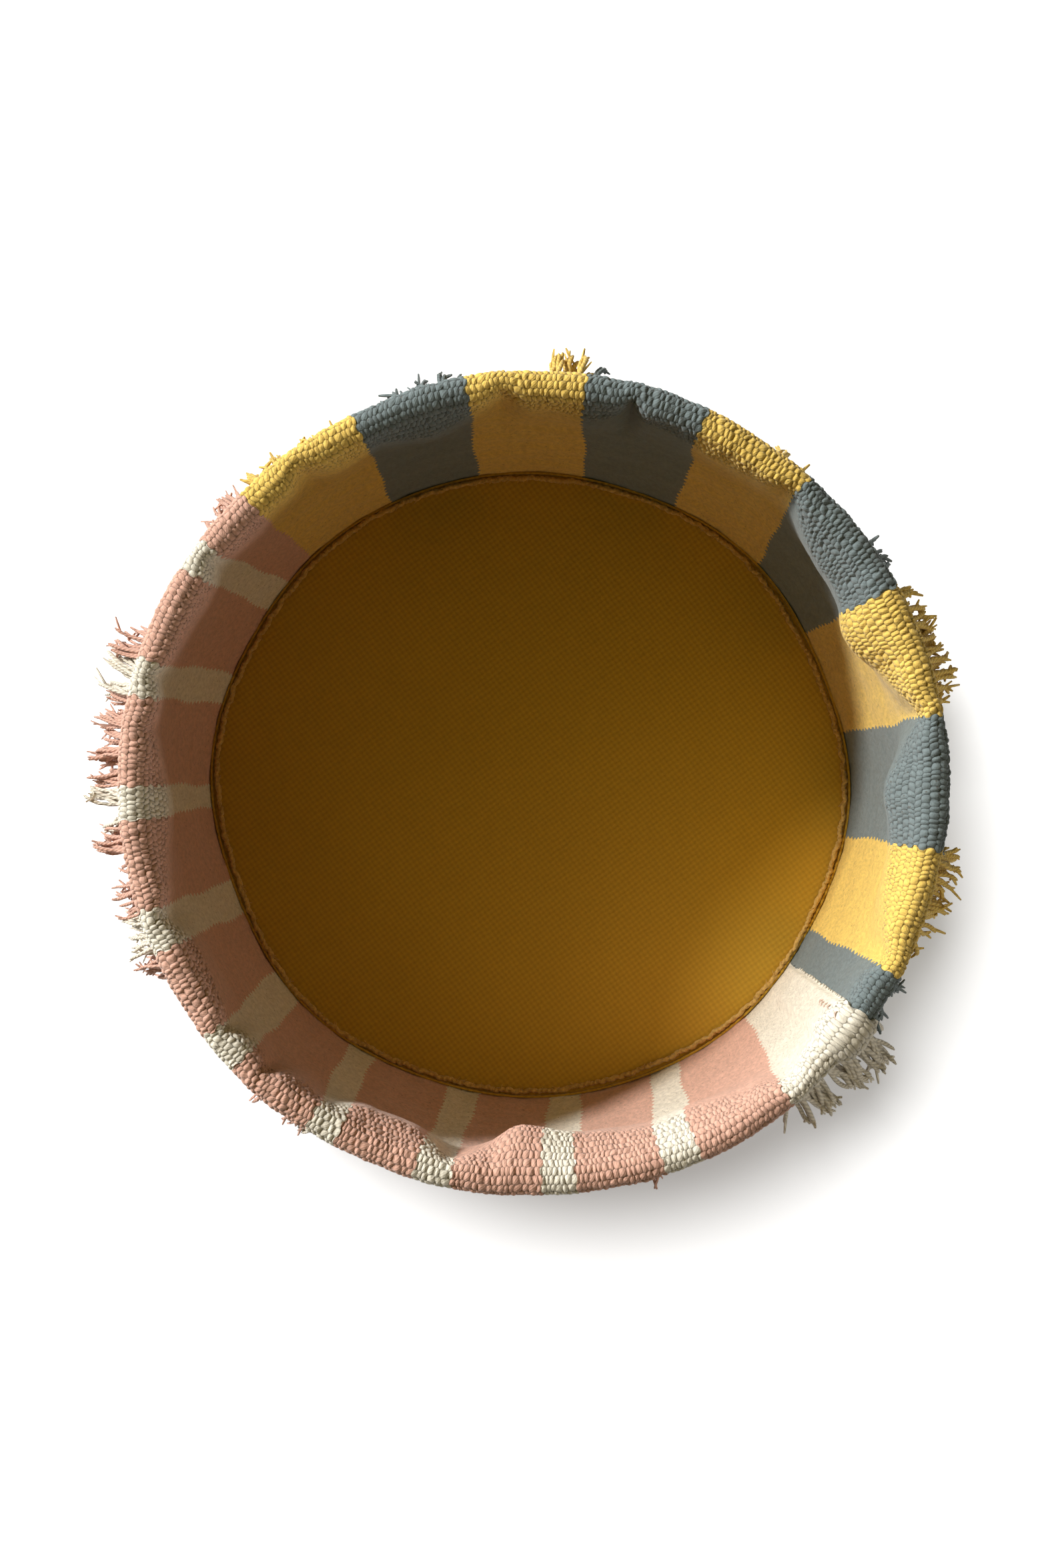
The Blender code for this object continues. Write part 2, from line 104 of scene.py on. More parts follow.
# Marks along the middle line of the cloth, from the hem's edge to the cuff's edge
HEM_END = HEM_FLAT
CORNER_END = HEM_END + CORNER_RADIUS * math.pi / 2
FOOT_END = CORNER_END + BORDER_UPSTAND + FOOT_CLEARANCE
WALL_END = CORNER_END + FOLD_Z - CORNER_Z
FOLD_END = WALL_END + FOLD_RADIUS * math.pi
CUFF_END = FOLD_END + CUFF_DEPTH - HALF_CLOTH - FOLD_RADIUS
BAY_LINE = FOLD_END - BAY_RUN
LAP_START = FOOT_END + (BAY_LINE - FOOT_END) / WALL_STEPS

# Waves round the basket: count to the turn, share, phase. Bays, pinched places of the rolled rim, and
# stretches of the fringe: angle, half width, share
WALL_WAVE_SHARES = ((3, 0.45, 20), (4, 0.35, 140), (7, 0.30, 60))
RIM_WAVE_SHARES = ((2, 0.55, 75), (3, 0.30, 200), (5, 0.35, 10), (11, 0.20, 90))
FOOT_WAVE_SHARES = ((1, 0.64, 244), (2, 1.00, 98), (6, 0.64, 131), (8, 0.58, 104))
CREST_WAVE_SHARES = ((2, 0.50, 30), (5, 0.35, 120), (9, 0.25, 250))
WELT_WAVE_SHARES = ((3, 0.40, 145), (4, 0.29, 216), (7, 0.31, 11))
# The welt's fine wiggle: its size; then share, count to the turn, and how much and how often it crowds
WELT_WIGGLE = 0.0004
WELT_WIGGLE_WAVES = ((1.0, 61, 6, 7), (0.7, 139, 4, 19))
BAY_SHARES = (
    (25, 14.5, 1.00),
    (38.5, 10, 0.58),
    (61, 12, 0.24),
    (75.5, 2.5, -0.22),
    (81.5, 7, 0.34),
    (89, 6, 0.16),
    (106.5, 11, 0.52),
    (120, 7, 0.20),
    (138, 6, 0.12),
    (152, 10, 0.18),
    (184, 14, 0.52),
    (208, 9, 0.26),
    (222.5, 4, 0.10),
    (232.5, 6, 0.18),
    (244, 8, 0.50),
    (251, 7, 0.46),
    (268.5, 10.5, 1.06),
    (279, 10, 0.74),
    (288.5, 9, 0.52),
    (297, 9, 0.55),
    (305, 8, 0.16),
    (346, 11, 0.52),
    (358.5, 12.5, 0.90),
)
PINCH_SHARES = (
    (10, 5, 1.0),
    (48.5, 5, 0.9),
    (75.5, 3, 0.8),
    (94.5, 4, 1.0),
    (126.5, 4, 1.0),
    (145.5, 3.5, 0.9),
    (164, 4, 0.9),
    (172, 3, 0.5),
    (200, 4, 0.9),
    (218.5, 3.5, 0.8),
    (227, 3, 0.7),
    (257, 4, 0.5),
    (311, 5, 1.0),
    (334, 5, 1.0),
)
FRINGE_SHARES = (
    (19.5, 12, 0.78),
    (33, 5, 0.65),
    (51, 5, 0.50),
    (84.5, 5.5, 0.75),
    (105, 8, 0.57),
    (127, 10, 0.56),
    (138.5, 5.5, 0.62),
    (163.5, 7.5, 0.95),
    (180, 16, 0.87),
    (200, 12, 0.80),
    (233, 9, 0.58),
    (291, 8, 0.48),
    (317.5, 10.5, 1.15),
    (329, 5, 0.65),
    (345, 10.5, 0.76),
)
# Share of its reach that the fringe keeps where it hangs down
HANGING_SHARE = 0.12

# Bands counter-clockwise from the lap: colour, and the angle of the first edge at rim and foot
BANDS = (
    ("grey", -34.8, -34.6),
    ("yellow", -27.9, -27.5),
    ("grey", -9.4, -9.3),
    ("yellow", 9.7, 9.2),
    ("grey", 28.6, 28.8),
    ("yellow", 47.9, 44.2),
    ("grey", 64.8, 62.5),
    ("yellow", 82.5, 80.4),
    ("grey", 99.6, 99.7),
    ("yellow", 116.2, 116.2),
    ("pink", 135.2, 134.2),
    ("cream", 143.7, 140.3),
    ("pink", 148.5, 146.5),
    ("cream", 162.1, 159.8),
    ("pink", 167.5, 165.5),
    ("cream", 180.3, 180.0),
    ("pink", 185.2, 184.2),
    ("cream", 198.1, 197.8),
    ("pink", 204.3, 204.1),
    ("cream", 217.5, 215.9),
    ("pink", 223.4, 223.3),
    ("cream", 236.3, 234.9),
    ("pink", 240.8, 240.3),
    ("cream", 252.8, 254.8),
    ("pink", 258.2, 260.3),
    ("cream", 271.2, 273.2),
    ("pink", 276.2, 279.3),
    ("cream", 288.9, 291.9),
    ("pink", 294.4, 297.8),
    ("cream", 309.1, 312.9),
)

# The weave: width of a stitch, rows of stitches from hem to cuff, and samples in each; the flatter rows
# of the lower wall take fewer
STITCH = 0.0029
ROWS = 66
HEM_ROWS = 4
ROW_SAMPLES = 4
FLAT_ROWS = 46
FLAT_ROW_SAMPLES = 3
STITCH_SAMPLES = 4

# The plump grain that each stitch makes: its height in metres, its half length in rows, its mean
# height, how much grains differ and stray, and their slant; then the columns of the table of chance
# figures for the grains, and the stitches by which each band starts further on in it
STITCH_RELIEF = 0.0009
GRAIN_REACH = 0.54
GRAIN_MEAN = 0.6
GRAIN_UNEVEN = 0.32
GRAIN_STRAY = 0.24
SLANT = 0.16
GRAIN_COLUMNS = 512
BAND_SHIFT = 60

# Share of that height on the flat inside of the wall, in the hem and on the cloth's wrong side; the row
# from which the stitches stand up in full, how much lower that is in a bay, and the rows in which they rise
FLAT_RELIEF = 0.12
HEM_RELIEF = 0.1
BACK_RELIEF = 0.8
KNOBBLY_ROWS = 51.5
KNOBBLY_BAY_ROWS = 4.0
RISING_ROWS = 2.2

# A band's edges, in stitches: the tooth that every other row makes, how ragged the teeth are and how
# soon each has its width; then the edge's drift up the wall, the stitches beside it and the rows above
# in which the drift dies away, and its waves: share, radians to the row, radians from band to band
TOOTH = 0.25
RAGGED = 0.12
TOOTH_SWELL = 1.4
WANDER = 0.28
WANDER_STITCHES = 3
WANDER_ROWS = 10
WANDER_WAVES = ((1.0, 0.15, 2.1), (0.6, 0.34, 4))

# How the stitches lean to and fro up the rows, and crowd and spread: share of a stitch, and waves in
# radians to the stitch and to the row
LEAN = 0.16
LEAN_PER_ROW = 1.9
LEAN_SWING = 1.3
LEAN_PER_STITCH = 0.21
CROWD_WAVES = ((0.20, 0.83, 0.5), (0.12, 2.3, -0.9))

# Soft lumps of the cloth: their height, and pairs of crossed waves: share, and for each wave its count
# to the turn, its radians to the metre up the wall and its phase
LUMPS = 0.00035
LUMP_WAVES = ((1.0, (23, 61, 0), (9, -95, 1)), (0.7, (41, -140, 2), (31, 170, 0)))

# The step to either side in which a surface's slope is measured
SLOPE_STEP = 0.00005

# The lap's free edge: the width in which it thins out, and the share of its thickness that is left
LAP_EDGE_TAPER = 0.0035
LAP_EDGE_LEFT = 0.42

# Real surface length of the cloth's right side at the marks above
RIGHT_SIDE_MARKS = np.cumsum([
    0,
    HEM_END,
    (CORNER_RADIUS - HALF_CLOTH) * math.pi / 2,
    WALL_END - CORNER_END,
    (FOLD_RADIUS + HALF_CLOTH) * math.pi,
    CUFF_END - FOLD_END,
])
RUN_MARKS = np.array([0, HEM_END, CORNER_END, WALL_END, FOLD_END, CUFF_END])
ROW_PITCH = RIGHT_SIDE_MARKS[-1] / ROWS

# Colours in plain light: the dyed yarns, the canvas and its cut edge, the board, the thread and the dark
# specks
COLOURS = {
    "yellow": "#E9C465",
    "grey": "#717C7E",
    "pink": "#D9AA97",
    "cream": "#EAE1D1",
    "canvas": "#C89E33",
    "raw_edge": "#D0A75C",
    "board": "#A39782",
    "thread": "#E6CABB",
    "speck": "#4A3A28",
}

# The photograph's frame: size in pixels, scale at the rim, middle of the basket, the camera's height,
# and a usual sensor's width in millimetres
PHOTO_SIZE = (1568, 2351)
RIM_PIXELS_PER_METRE = 3100
BASKET_PIXEL = (799.5, 1175.5)
CAMERA_ABOVE_RIM = 0.90
SENSOR = 36


def ease(share):
    """A share from 0 to 1 with level ends."""
    share = np.clip(share, 0, 1)
    return share * share * (3 - 2 * share)


def wave(angle, shares):
    """Sum of the waves round the basket."""
    turn = np.radians(angle)
    return sum(share * np.sin(count * turn + math.radians(phase)) for count, share, phase in shares)


def turn_between(angle, centre):
    """Degrees from one angle to another, the short way round."""
    return np.abs((angle - centre + 180) % 360 - 180)


def share_round(angle, places):
    """Sum at an angle of soft places round the basket."""
    return sum(share * ease(1 - turn_between(angle, centre) / width) for centre, width, share in places)


def fringe_share(angle):
    """Share of the fringe's reach at an angle."""
    share = np.full(np.shape(angle), HANGING_SHARE)
    for centre, width, most in FRINGE_SHARES:
        share = np.maximum(share, most * ease(2 - 2 * turn_between(angle, centre) / width))
    return share


def drift(angle, height):
    """How far the wall stands outside its true ring at a height."""
    up = np.clip(height / BASKET_HEIGHT, 0, 1)
    foot = (FOOT_WAVE * wave(angle, FOOT_WAVE_SHARES) - FOOT_INSET) * (1 - up)
    belly = (WALL_BELLY + WALL_WAVE * wave(angle, WALL_WAVE_SHARES)) * np.sin(math.pi * up)
    rim = RIM_WAVE * wave(angle, RIM_WAVE_SHARES) * up
    return foot + belly + rim


def rise(angle, height):
    """How far the cloth stands above its true height."""
    up = np.clip(height / BASKET_HEIGHT, 0, 1)
    return CREST_WAVE * wave(angle, CREST_WAVE_SHARES) * up ** CREST_FALL


def section(run):
    """Middle line of the cloth: out from the wall line, height, and the facing of its right side."""
    corner = (run - HEM_END) / CORNER_RADIUS
    fold = (run - WALL_END) / FOLD_RADIUS
    flat = 0 * run
    stretches = [run < HEM_END, run < CORNER_END, run < WALL_END, run < FOLD_END]
    out = np.select(
        stretches,
        [run - HEM_WIDTH, CORNER_RADIUS * (np.sin(corner) - 1), flat, FOLD_RADIUS * (1 - np.cos(fold))],
        2 * FOLD_RADIUS,
    )
    height = np.select(
        stretches,
        [flat + HEM_Z, CORNER_Z - CORNER_RADIUS * np.cos(corner), CORNER_Z + run - CORNER_END,
         FOLD_Z + FOLD_RADIUS * np.sin(fold)],
        FOLD_Z - run + FOLD_END,
    )
    facing_out = np.select(stretches, [flat, -np.sin(corner), flat - 1, -np.cos(fold)], 1)
    facing_up = np.select(stretches, [flat + 1, np.cos(corner), flat, np.sin(fold)], 0)
    return out, height, facing_out, facing_up


def polar(angle, radius, height):
    """Points from angle, radius and height."""
    turn = np.radians(angle)
    return np.stack([radius * np.cos(turn), radius * np.sin(turn), height + 0 * radius], axis=-1)


def bay(angle, run):
    """How far the soft wall leans inwards: its bays, and the broad roll of the rim between pinched places."""
    below = FOLD_END - run
    depth = share_round(angle, BAY_SHARES)
    sunk = np.sin(np.clip(below / BAY_RUN, 0, 1) * math.pi / 2) ** BAY_START
    bays = BAY_DEPTH * depth * sunk * ease((BAY_RUN + BAY_FADE - below) / BAY_FADE)
    pinched = share_round(angle, PINCH_SHARES)
    rolled = np.sin(np.clip(below / SHOULDER_RUN, 0, 1) * math.pi / 2)
    rolled = rolled * ease((SHOULDER_RUN + SHOULDER_FADE - below) / SHOULDER_FADE)
    return bays + SHOULDER * (1 - pinched) * (1 - np.clip(BAY_OVER_ROLL * depth, 0, 1)) * rolled


def cloth_point(angle, run, lift):
    """Points of the cloth's middle layer, lifted off it towards its right side."""
    out, height, facing_out, facing_up = section(run)
    radius = WALL_RADIUS + out + facing_out * lift + drift(angle, height) - bay(angle, run)
    return polar(angle, radius, height + facing_up * lift + rise(angle, height))


def border_point(angle, run, lift):
    """Points of the canvas border: level from the welt, round the corner and up the wall."""
    flat = BORDER_FLAT - SEAT_GAP / 2 - WELT_WAVE * wave(angle, WELT_WAVE_SHARES)
    level = flat * np.clip(run / BORDER_FLAT, 0, 1) - flat
    turn = np.clip((run - BORDER_FLAT) / BORDER_CORNER, 0, 1) * math.pi / 2
    climb = np.maximum(run - BORDER_FLAT - BORDER_CORNER, 0)
    height = CORNER_Z - BORDER_BEND * np.cos(turn) + climb
    radius = WALL_RADIUS - CORNER_RADIUS + level + BORDER_BEND * np.sin(turn) + drift(angle, height)
    return polar(angle, radius - np.sin(turn) * lift, height + np.cos(turn) * lift)


def welt_radius(angle):
    """Radius of the seam between the floor canvas and its border."""
    return WELT_RADIUS + drift(angle, FLOOR_Z) + WELT_WAVE * wave(angle, WELT_WAVE_SHARES)


def welt_point(angle, run, lift):
    """Points of the raw edge that stands up along the welt."""
    turn = np.radians(angle)
    wiggle = WELT_WIGGLE * sum(
        share * np.sin(count * turn + crowd * np.sin(often * turn))
        for share, count, crowd, often in WELT_WIGGLE_WAVES
    )
    height = FLOOR_Z + CANVAS_THICKNESS + SEAT_GAP + run
    return polar(angle, welt_radius(angle) + wiggle - lift, height)


def faced_point(point, angle, run, lift, offset):
    """Points at an offset square to a surface, on its right side for a positive offset."""
    swing = math.degrees(SLOPE_STEP / WALL_RADIUS)
    along = point(angle + swing, run, lift) - point(angle - swing, run, lift)
    across = point(angle, run + SLOPE_STEP, lift) - point(angle, run - SLOPE_STEP, lift)
    square = np.cross(along, across)
    square /= np.linalg.norm(square, axis=-1, keepdims=True)
    return point(angle, run, lift) - square * np.asarray(offset)[..., None]


def degrees_round(arc):
    """Degrees that an arc along the wall spans."""
    return np.degrees(arc / WALL_RADIUS)


def lumps(angle, run):
    """Soft unevenness of the cloth, over a few centimetres."""
    turn = np.radians(angle)
    height = 0
    for share, *pair in LUMP_WAVES:
        first, second = (np.sin(count * turn + pace * run + phase) for count, pace, phase in pair)
        height = height + share * first * second
    return LUMPS * height


GRAIN_TABLE = np.random.default_rng(3).uniform(-1, 1, (3, ROWS + 4, GRAIN_COLUMNS))
EDGE_TABLE = np.random.default_rng(5).uniform(-1, 1, (ROWS, len(BANDS) + 2))


def grain(stitch, row, slant):
    """Height of the plump grains that lie on every other row, no two quite alike."""
    along = 2 * (((row + 0.5) / 2) % 1) - 1
    slanted = stitch + slant * along
    plump, aside, ahead = GRAIN_TABLE[:, ((row + 0.5) / 2).astype(int), slanted.astype(int) % GRAIN_COLUMNS]
    across = 2 * (slanted % 1) - 1 + GRAIN_STRAY * aside
    along = (along + GRAIN_STRAY / 2 * ahead) / GRAIN_REACH
    return np.sqrt(np.clip(1 - across ** 2 - along ** 4, 0, 1)) * (1 + GRAIN_UNEVEN * plump)


def stitch_relief(stitch, row):
    """The woven surface: two sets of grains that lean both ways, half a stitch and one row apart."""
    return np.maximum(grain(stitch, row, SLANT), grain(stitch + 0.5, row + 1, -SLANT)) - GRAIN_MEAN


def uneven(stitch, row):
    """The stitches crowd, spread and lean a little, as hand-spun yarn makes them."""
    lean = LEAN * np.sin(LEAN_PER_ROW * row + LEAN_SWING * np.sin(LEAN_PER_STITCH * stitch))
    crowd = sum(share * np.sin(across * stitch + up * row) for share, across, up in CROWD_WAVES)
    return stitch + lean + crowd


def relief_strength(row, side, angle):
    """The stitches stand up on the rim, the cuff and the upper part of the bays, and the wall is flatter."""
    knobbly = KNOBBLY_ROWS - KNOBBLY_BAY_ROWS * np.clip(share_round(angle, BAY_SHARES), 0, 1)
    right = FLAT_RELIEF + (1 - FLAT_RELIEF) * ease((row - knobbly + RISING_ROWS) / RISING_ROWS)
    wrong = np.interp(row, [0, HEM_ROWS, ROWS], [HEM_RELIEF, BACK_RELIEF, BACK_RELIEF])
    return np.where(side > 0, right, wrong)


def tooth(row, number):
    """Stitches that a row of a band's edge stands out by, to and fro from row to row."""
    inside = np.clip(row, 0, ROWS - 1e-6).astype(int)
    swell = np.minimum(1, TOOTH_SWELL * np.abs(np.sin(math.pi * row)))
    return (TOOTH * (2 * (inside % 2) - 1) + RAGGED * EDGE_TABLE[inside, number]) * swell


def wander(row, number):
    """Stitches that a band's edge drifts by up the wall."""
    slow = sum(share * np.sin(pace * row + each * number) for share, pace, each in WANDER_WAVES)
    return WANDER * slow * ease(row / HEM_ROWS) * ease((KNOBBLY_ROWS - row) / WANDER_ROWS)


def band_edges(number):
    """First and last edge of a band at the rim and at the foot, its width and, so far, no lap."""
    _, rim_start, foot_start = BANDS[number]
    _, rim_end, foot_end = BANDS[(number + 1) % len(BANDS)]
    turns = 0 if number + 1 < len(BANDS) else 360
    return {"number": number, "rim": (rim_start, rim_end + turns), "foot": (foot_start, foot_end + turns),
            "width": rim_end + turns - rim_start, "lap": 0.0}


def band_angle(place, run, band):
    """Angle of a place across a band; the band leans, but the lap keeps its width."""
    up = np.clip((run - CORNER_END) / (WALL_END - CORNER_END), 0, 1)
    start, end = (foot + (rim - foot) * up for foot, rim in zip(band["foot"], band["rim"]))
    free = band["width"] - band["lap"]
    inside = start + place * (end - band["lap"] - start) / free
    return np.where(place < 0, start + place, np.where(place > free, end - band["width"] + place, inside))


def band_name(number):
    """The node that a band of the strip stands for."""
    colour = BANDS[number][0]
    if number == len(BANDS) - 1:
        return "wall_cream_end_block"
    same = sum(band[0] == colour for band in BANDS[: number + 1])
    return f"wall_{colour}_{same}"


def flat_solid(columns, rows):
    """A flat closed slab of squares: x and y are grid places, and z is 1 on the right side."""
    mesh = bmesh.new()
    bmesh.ops.create_grid(mesh, x_segments=columns, y_segments=rows, size=1)
    bmesh.ops.translate(mesh, verts=mesh.verts, vec=(1, 1, -1))
    bmesh.ops.scale(mesh, verts=mesh.verts, vec=(columns / 2, rows / 2, 1))
    copy = bmesh.ops.extrude_face_region(mesh, geom=mesh.faces[:])
    moved = [item for item in copy["geom"] if isinstance(item, bmesh.types.BMVert)]
    bmesh.ops.translate(mesh, verts=moved, vec=(0, 0, 2))
    bmesh.ops.recalc_face_normals(mesh, faces=mesh.faces)
    bmesh.ops.reverse_faces(mesh, faces=mesh.faces)
    return mesh


def object_from(mesh, name, material, sharp=60):
    """Object at the origin from a bmesh, shaded smooth up to an angle."""
    data = bpy.data.meshes.new(name)
    mesh.to_mesh(data)
    mesh.free()
    data.shade_smooth()
    data.set_sharp_from_angle(angle=math.radians(sharp))
    data.materials.append(material)
    piece = bpy.data.objects.new(name, data)
    bpy.context.scene.collection.objects.link(piece)
    return piece


def coordinates(data):
    """A mesh's points as an array."""
    flat = np.empty(3 * len(data.vertices))
    data.vertices.foreach_get("co", flat)
    return flat.reshape(-1, 3)


def place_points(data, points):
    """Puts a mesh's points where an array says."""
    data.vertices.foreach_set("co", np.asarray(points, dtype=np.float32).ravel())
    data.update()


def corner_points(data):
    """For each corner of a mesh's faces, the point that it uses."""
    corners = np.empty(len(data.loops), dtype=np.int64)
    data.loops.foreach_get("vertex_index", corners)
    return corners


def give_map(data, across, along):
    """A map in metres that the weave is drawn on."""
    layer = data.uv_layers.new(name="cloth")
    layer.uv.foreach_set("vector", np.stack([across, along], axis=-1).astype(np.float32).ravel())


def row_lines(low, high):
    """Rows at which the cloth is sampled, closer where the stitches stand up."""
    flat = np.arange(low * FLAT_ROW_SAMPLES, FLAT_ROWS * FLAT_ROW_SAMPLES) / FLAT_ROW_SAMPLES
    return np.append(flat, np.linspace(FLAT_ROWS, high, (high - FLAT_ROWS) * ROW_SAMPLES + 1))


def weave_band(name, band, places, rows, lift_of, material):
    """Closed thick cloth between two places and two rows of a band, with its stitches."""
    first, last = places
    stitches = max(2, round(math.radians(last - first) * WALL_RADIUS / STITCH))
    columns = stitches * STITCH_SAMPLES
    lines = row_lines(*rows)
    piece = object_from(flat_solid(columns, len(lines) - 1), name, material)
    grid = coordinates(piece.data)
    column, side = np.round(grid[:, 0]), grid[:, 2]
    share = column / columns
    row = lines[np.round(grid[:, 1]).astype(int)]
    run = np.interp(row * ROW_PITCH, RIGHT_SIDE_MARKS, RUN_MARKS)
    number = band["number"]
    shift = 0
    for edge, away in ((number, share * stitches), (number + 1, (1 - share) * stitches)):
        shift = shift + np.clip(1 - away, 0, 1) * tooth(row, edge)
        if first == 0 and 0 < edge < len(BANDS):
            shift = shift + np.clip(1 - away / WANDER_STITCHES, 0, 1) * wander(row, edge)
    stitch = uneven(share * stitches + TOOTH + shift + BAND_SHIFT * number + 1, row)
    place = first + (last - first) * share
    angle = band_angle(place, run, band) + shift * (last - first) / stitches
    strength = relief_strength(row, side, angle)
    height = STITCH_RELIEF * strength * stitch_relief(stitch, row)
    lift, half = lift_of(place, run)
    offset = side * (half + height)
    place_points(piece.data, faced_point(cloth_point, angle, run, lift + lumps(angle, run), offset))
    map_band(piece.data, column, columns, stitch, row, side)
    shown = piece.data.attributes.new("stitches", "FLOAT", "POINT")
    shown.data.foreach_set("value", strength.astype(np.float32))
    return piece


def map_band(data, column, columns, stitch, row, side):
    """Map of a band: a stitch's width and a row's length for each stitch, on round the cuff's edge."""
    corners = corner_points(data)
    faces = corners.reshape(-1, 4)
    on_edge = [np.all(column[faces] == edge, axis=1) for edge in (0, columns)]
    capped = np.repeat(on_edge[0] | on_edge[1], 4)
    unrolled = np.where(side > 0, row, 2 * ROWS + 1 - row)
    along = np.where(capped, row[corners], unrolled[corners])
    across = stitch[corners] + np.where(capped, side[corners], 0)
    give_map(data, across * STITCH, along * ROW_PITCH)


def plain_layer(place, run):
    """A band that lies in the cloth's middle layer, at full thickness."""
    return 0 * place, HALF_CLOTH + 0 * place


def lapping_layer(step, lap, width):
    """The end block steps up over the tab below it and thins out at its free edge."""

    def layer(place, run):
        raised = np.clip((place - step) / (lap - step), 0, 1)
        raised = raised * np.clip((run - FOOT_END) / (LAP_START - FOOT_END), 0, 1)
        edge = ease((width - place) / degrees_round(LAP_EDGE_TAPER))
        half = HALF_CLOTH * np.where(run > FOOT_END, LAP_EDGE_LEFT + (1 - LAP_EDGE_LEFT) * edge, 1)
        return LAP_LIFT * raised - (HALF_CLOTH - half), half

    return layer


# Materials


# Patterns of the cotton to the metre: plies that cross a stitch at a slant, 0.9 mm apart, in radians;
# patches of 25 mm; streaks of 1.4 by 9 mm along the yarn; tufts of 2.5 by 5 mm on the flat inside; cells
# of 3 mm, of which half hold a dark speck, with its radius in cells. Single fibres are too fine to show, so
# the fuzz is drawn in lumps of 0.45 mm
PLY_ACROSS = 5600.0
PLY_ALONG = 3600.0
COTTON_FUZZ = 2200.0
COTTON_PATCH = 40.0
YARN_STREAKS = (700.0, 110.0, 1.0)
TUFTS = (400.0, 190.0, 1.0)
SPECK_CELLS = 330.0
SPECK_SIZE = 0.16
SPECK_RARE = 0.5

# A loose yarn: the way along it from one of its two plies to the next, in metres; its fuzz, drawn coarse
# at 0.55 mm, and patches of 17 mm, both to the metre
PLY_PITCH = 0.0026
STRAND_FUZZ = 1800.0
STRAND_PATCH = 60.0

# The canvas: thread spacing, which is about 1.5 mm in the photo and drawn at 2 mm so that it shows, and
# how far the threads are turned; threads that wander over 11 mm, fuzz drawn coarse at 0.8 mm, and
# patches of 60 mm, to the metre
CANVAS_PITCH = 0.0020
CANVAS_TURN = 10
THREAD_WANDER = 90.0
CANVAS_FUZZ = 1300.0
CANVAS_PATCH = 16.0


def linear(hex_colour):
    """Linear red, green and blue of an sRGB hex colour."""
    values = [int(hex_colour[start:start + 2], 16) / 255 for start in (1, 3, 5)]
    return tuple(v / 12.92 if v <= 0.04045 else ((v + 0.055) / 1.055) ** 2.4 for v in values)


def add(tree, kind, inputs=(), **settings):
    """Adds a node; inputs, by number or name, take a value, a node or a node's output."""
    node = tree.nodes.new("ShaderNode" + kind)
    for name, value in settings.items():
        setattr(node, name, value)
    ready = [socket for socket in node.inputs if socket.enabled]
    for key, value in inputs.items() if isinstance(inputs, dict) else enumerate(inputs):
        socket = ready[key] if isinstance(key, int) else next(s for s in ready if s.name == key)
        if isinstance(value, bpy.types.Node):
            value = next(output for output in value.outputs if output.enabled)
        if isinstance(value, bpy.types.NodeSocket):
            tree.links.new(value, socket)
        else:
            socket.default_value = value
    return node


def new_material(name, roughness, sheen):
    """A matt dielectric and its shader."""
    material = bpy.data.materials.new(name)
    material.use_nodes = True
    shader = material.node_tree.nodes["Principled BSDF"]
    shader.inputs["Roughness"].default_value = roughness
    shader.inputs["Sheen Weight"].default_value = sheen
    shader.inputs["Sheen Roughness"].default_value = 0.5
    shader.inputs["IOR"].default_value = 1.5
    shader.inputs["Specular IOR Level"].default_value = 0.25
    return material, material.node_tree, shader


def toned(hex_colour, gain):
    """A colour made lighter or darker, with its alpha."""
    return (*(min(value * gain, 1) for value in linear(hex_colour)), 1)


def finish_shader(tree, shader, colour, relief, depth, strength):
    """Lets a relief of some depth shade the surface, and a colour paint it."""
    bump = add(tree, "Bump", {"Strength": strength, "Distance": depth, "Height": relief})
    tree.links.new(bump.outputs[0], shader.inputs["Normal"])
    tree.links.new(colour.outputs[2], shader.inputs["Base Color"])


def grain_pattern(tree, across, along, over, up, slant):
    """Height of one set of grains on the map, moved over by stitches and up by rows."""
    row = add(tree, "Math", (along, 0.5 / ROW_PITCH, (up + 0.5) / 2), operation="MULTIPLY_ADD")
    row = add(tree, "Math", (row,), operation="FRACT")
    row = add(tree, "Math", (row, 2, -1), operation="MULTIPLY_ADD")
    stitch = add(tree, "Math", (across, 1 / STITCH, over), operation="MULTIPLY_ADD")
    stitch = add(tree, "Math", (row, slant, stitch), operation="MULTIPLY_ADD")
    stitch = add(tree, "Math", (stitch,), operation="FRACT")
    stitch = add(tree, "Math", (stitch, 2, -1), operation="MULTIPLY_ADD")
    wide = add(tree, "Math", (stitch, stitch), operation="MULTIPLY")
    long = add(tree, "Math", (row, 1 / GRAIN_REACH), operation="MULTIPLY")
    long = add(tree, "Math", (long, 4), operation="POWER")
    away = add(tree, "Math", (long, wide), operation="ADD")
    left = add(tree, "Math", (1, away), operation="SUBTRACT")
    left = add(tree, "Math", (left, 0), operation="MAXIMUM")
    return add(tree, "Math", (left,), operation="SQRT")


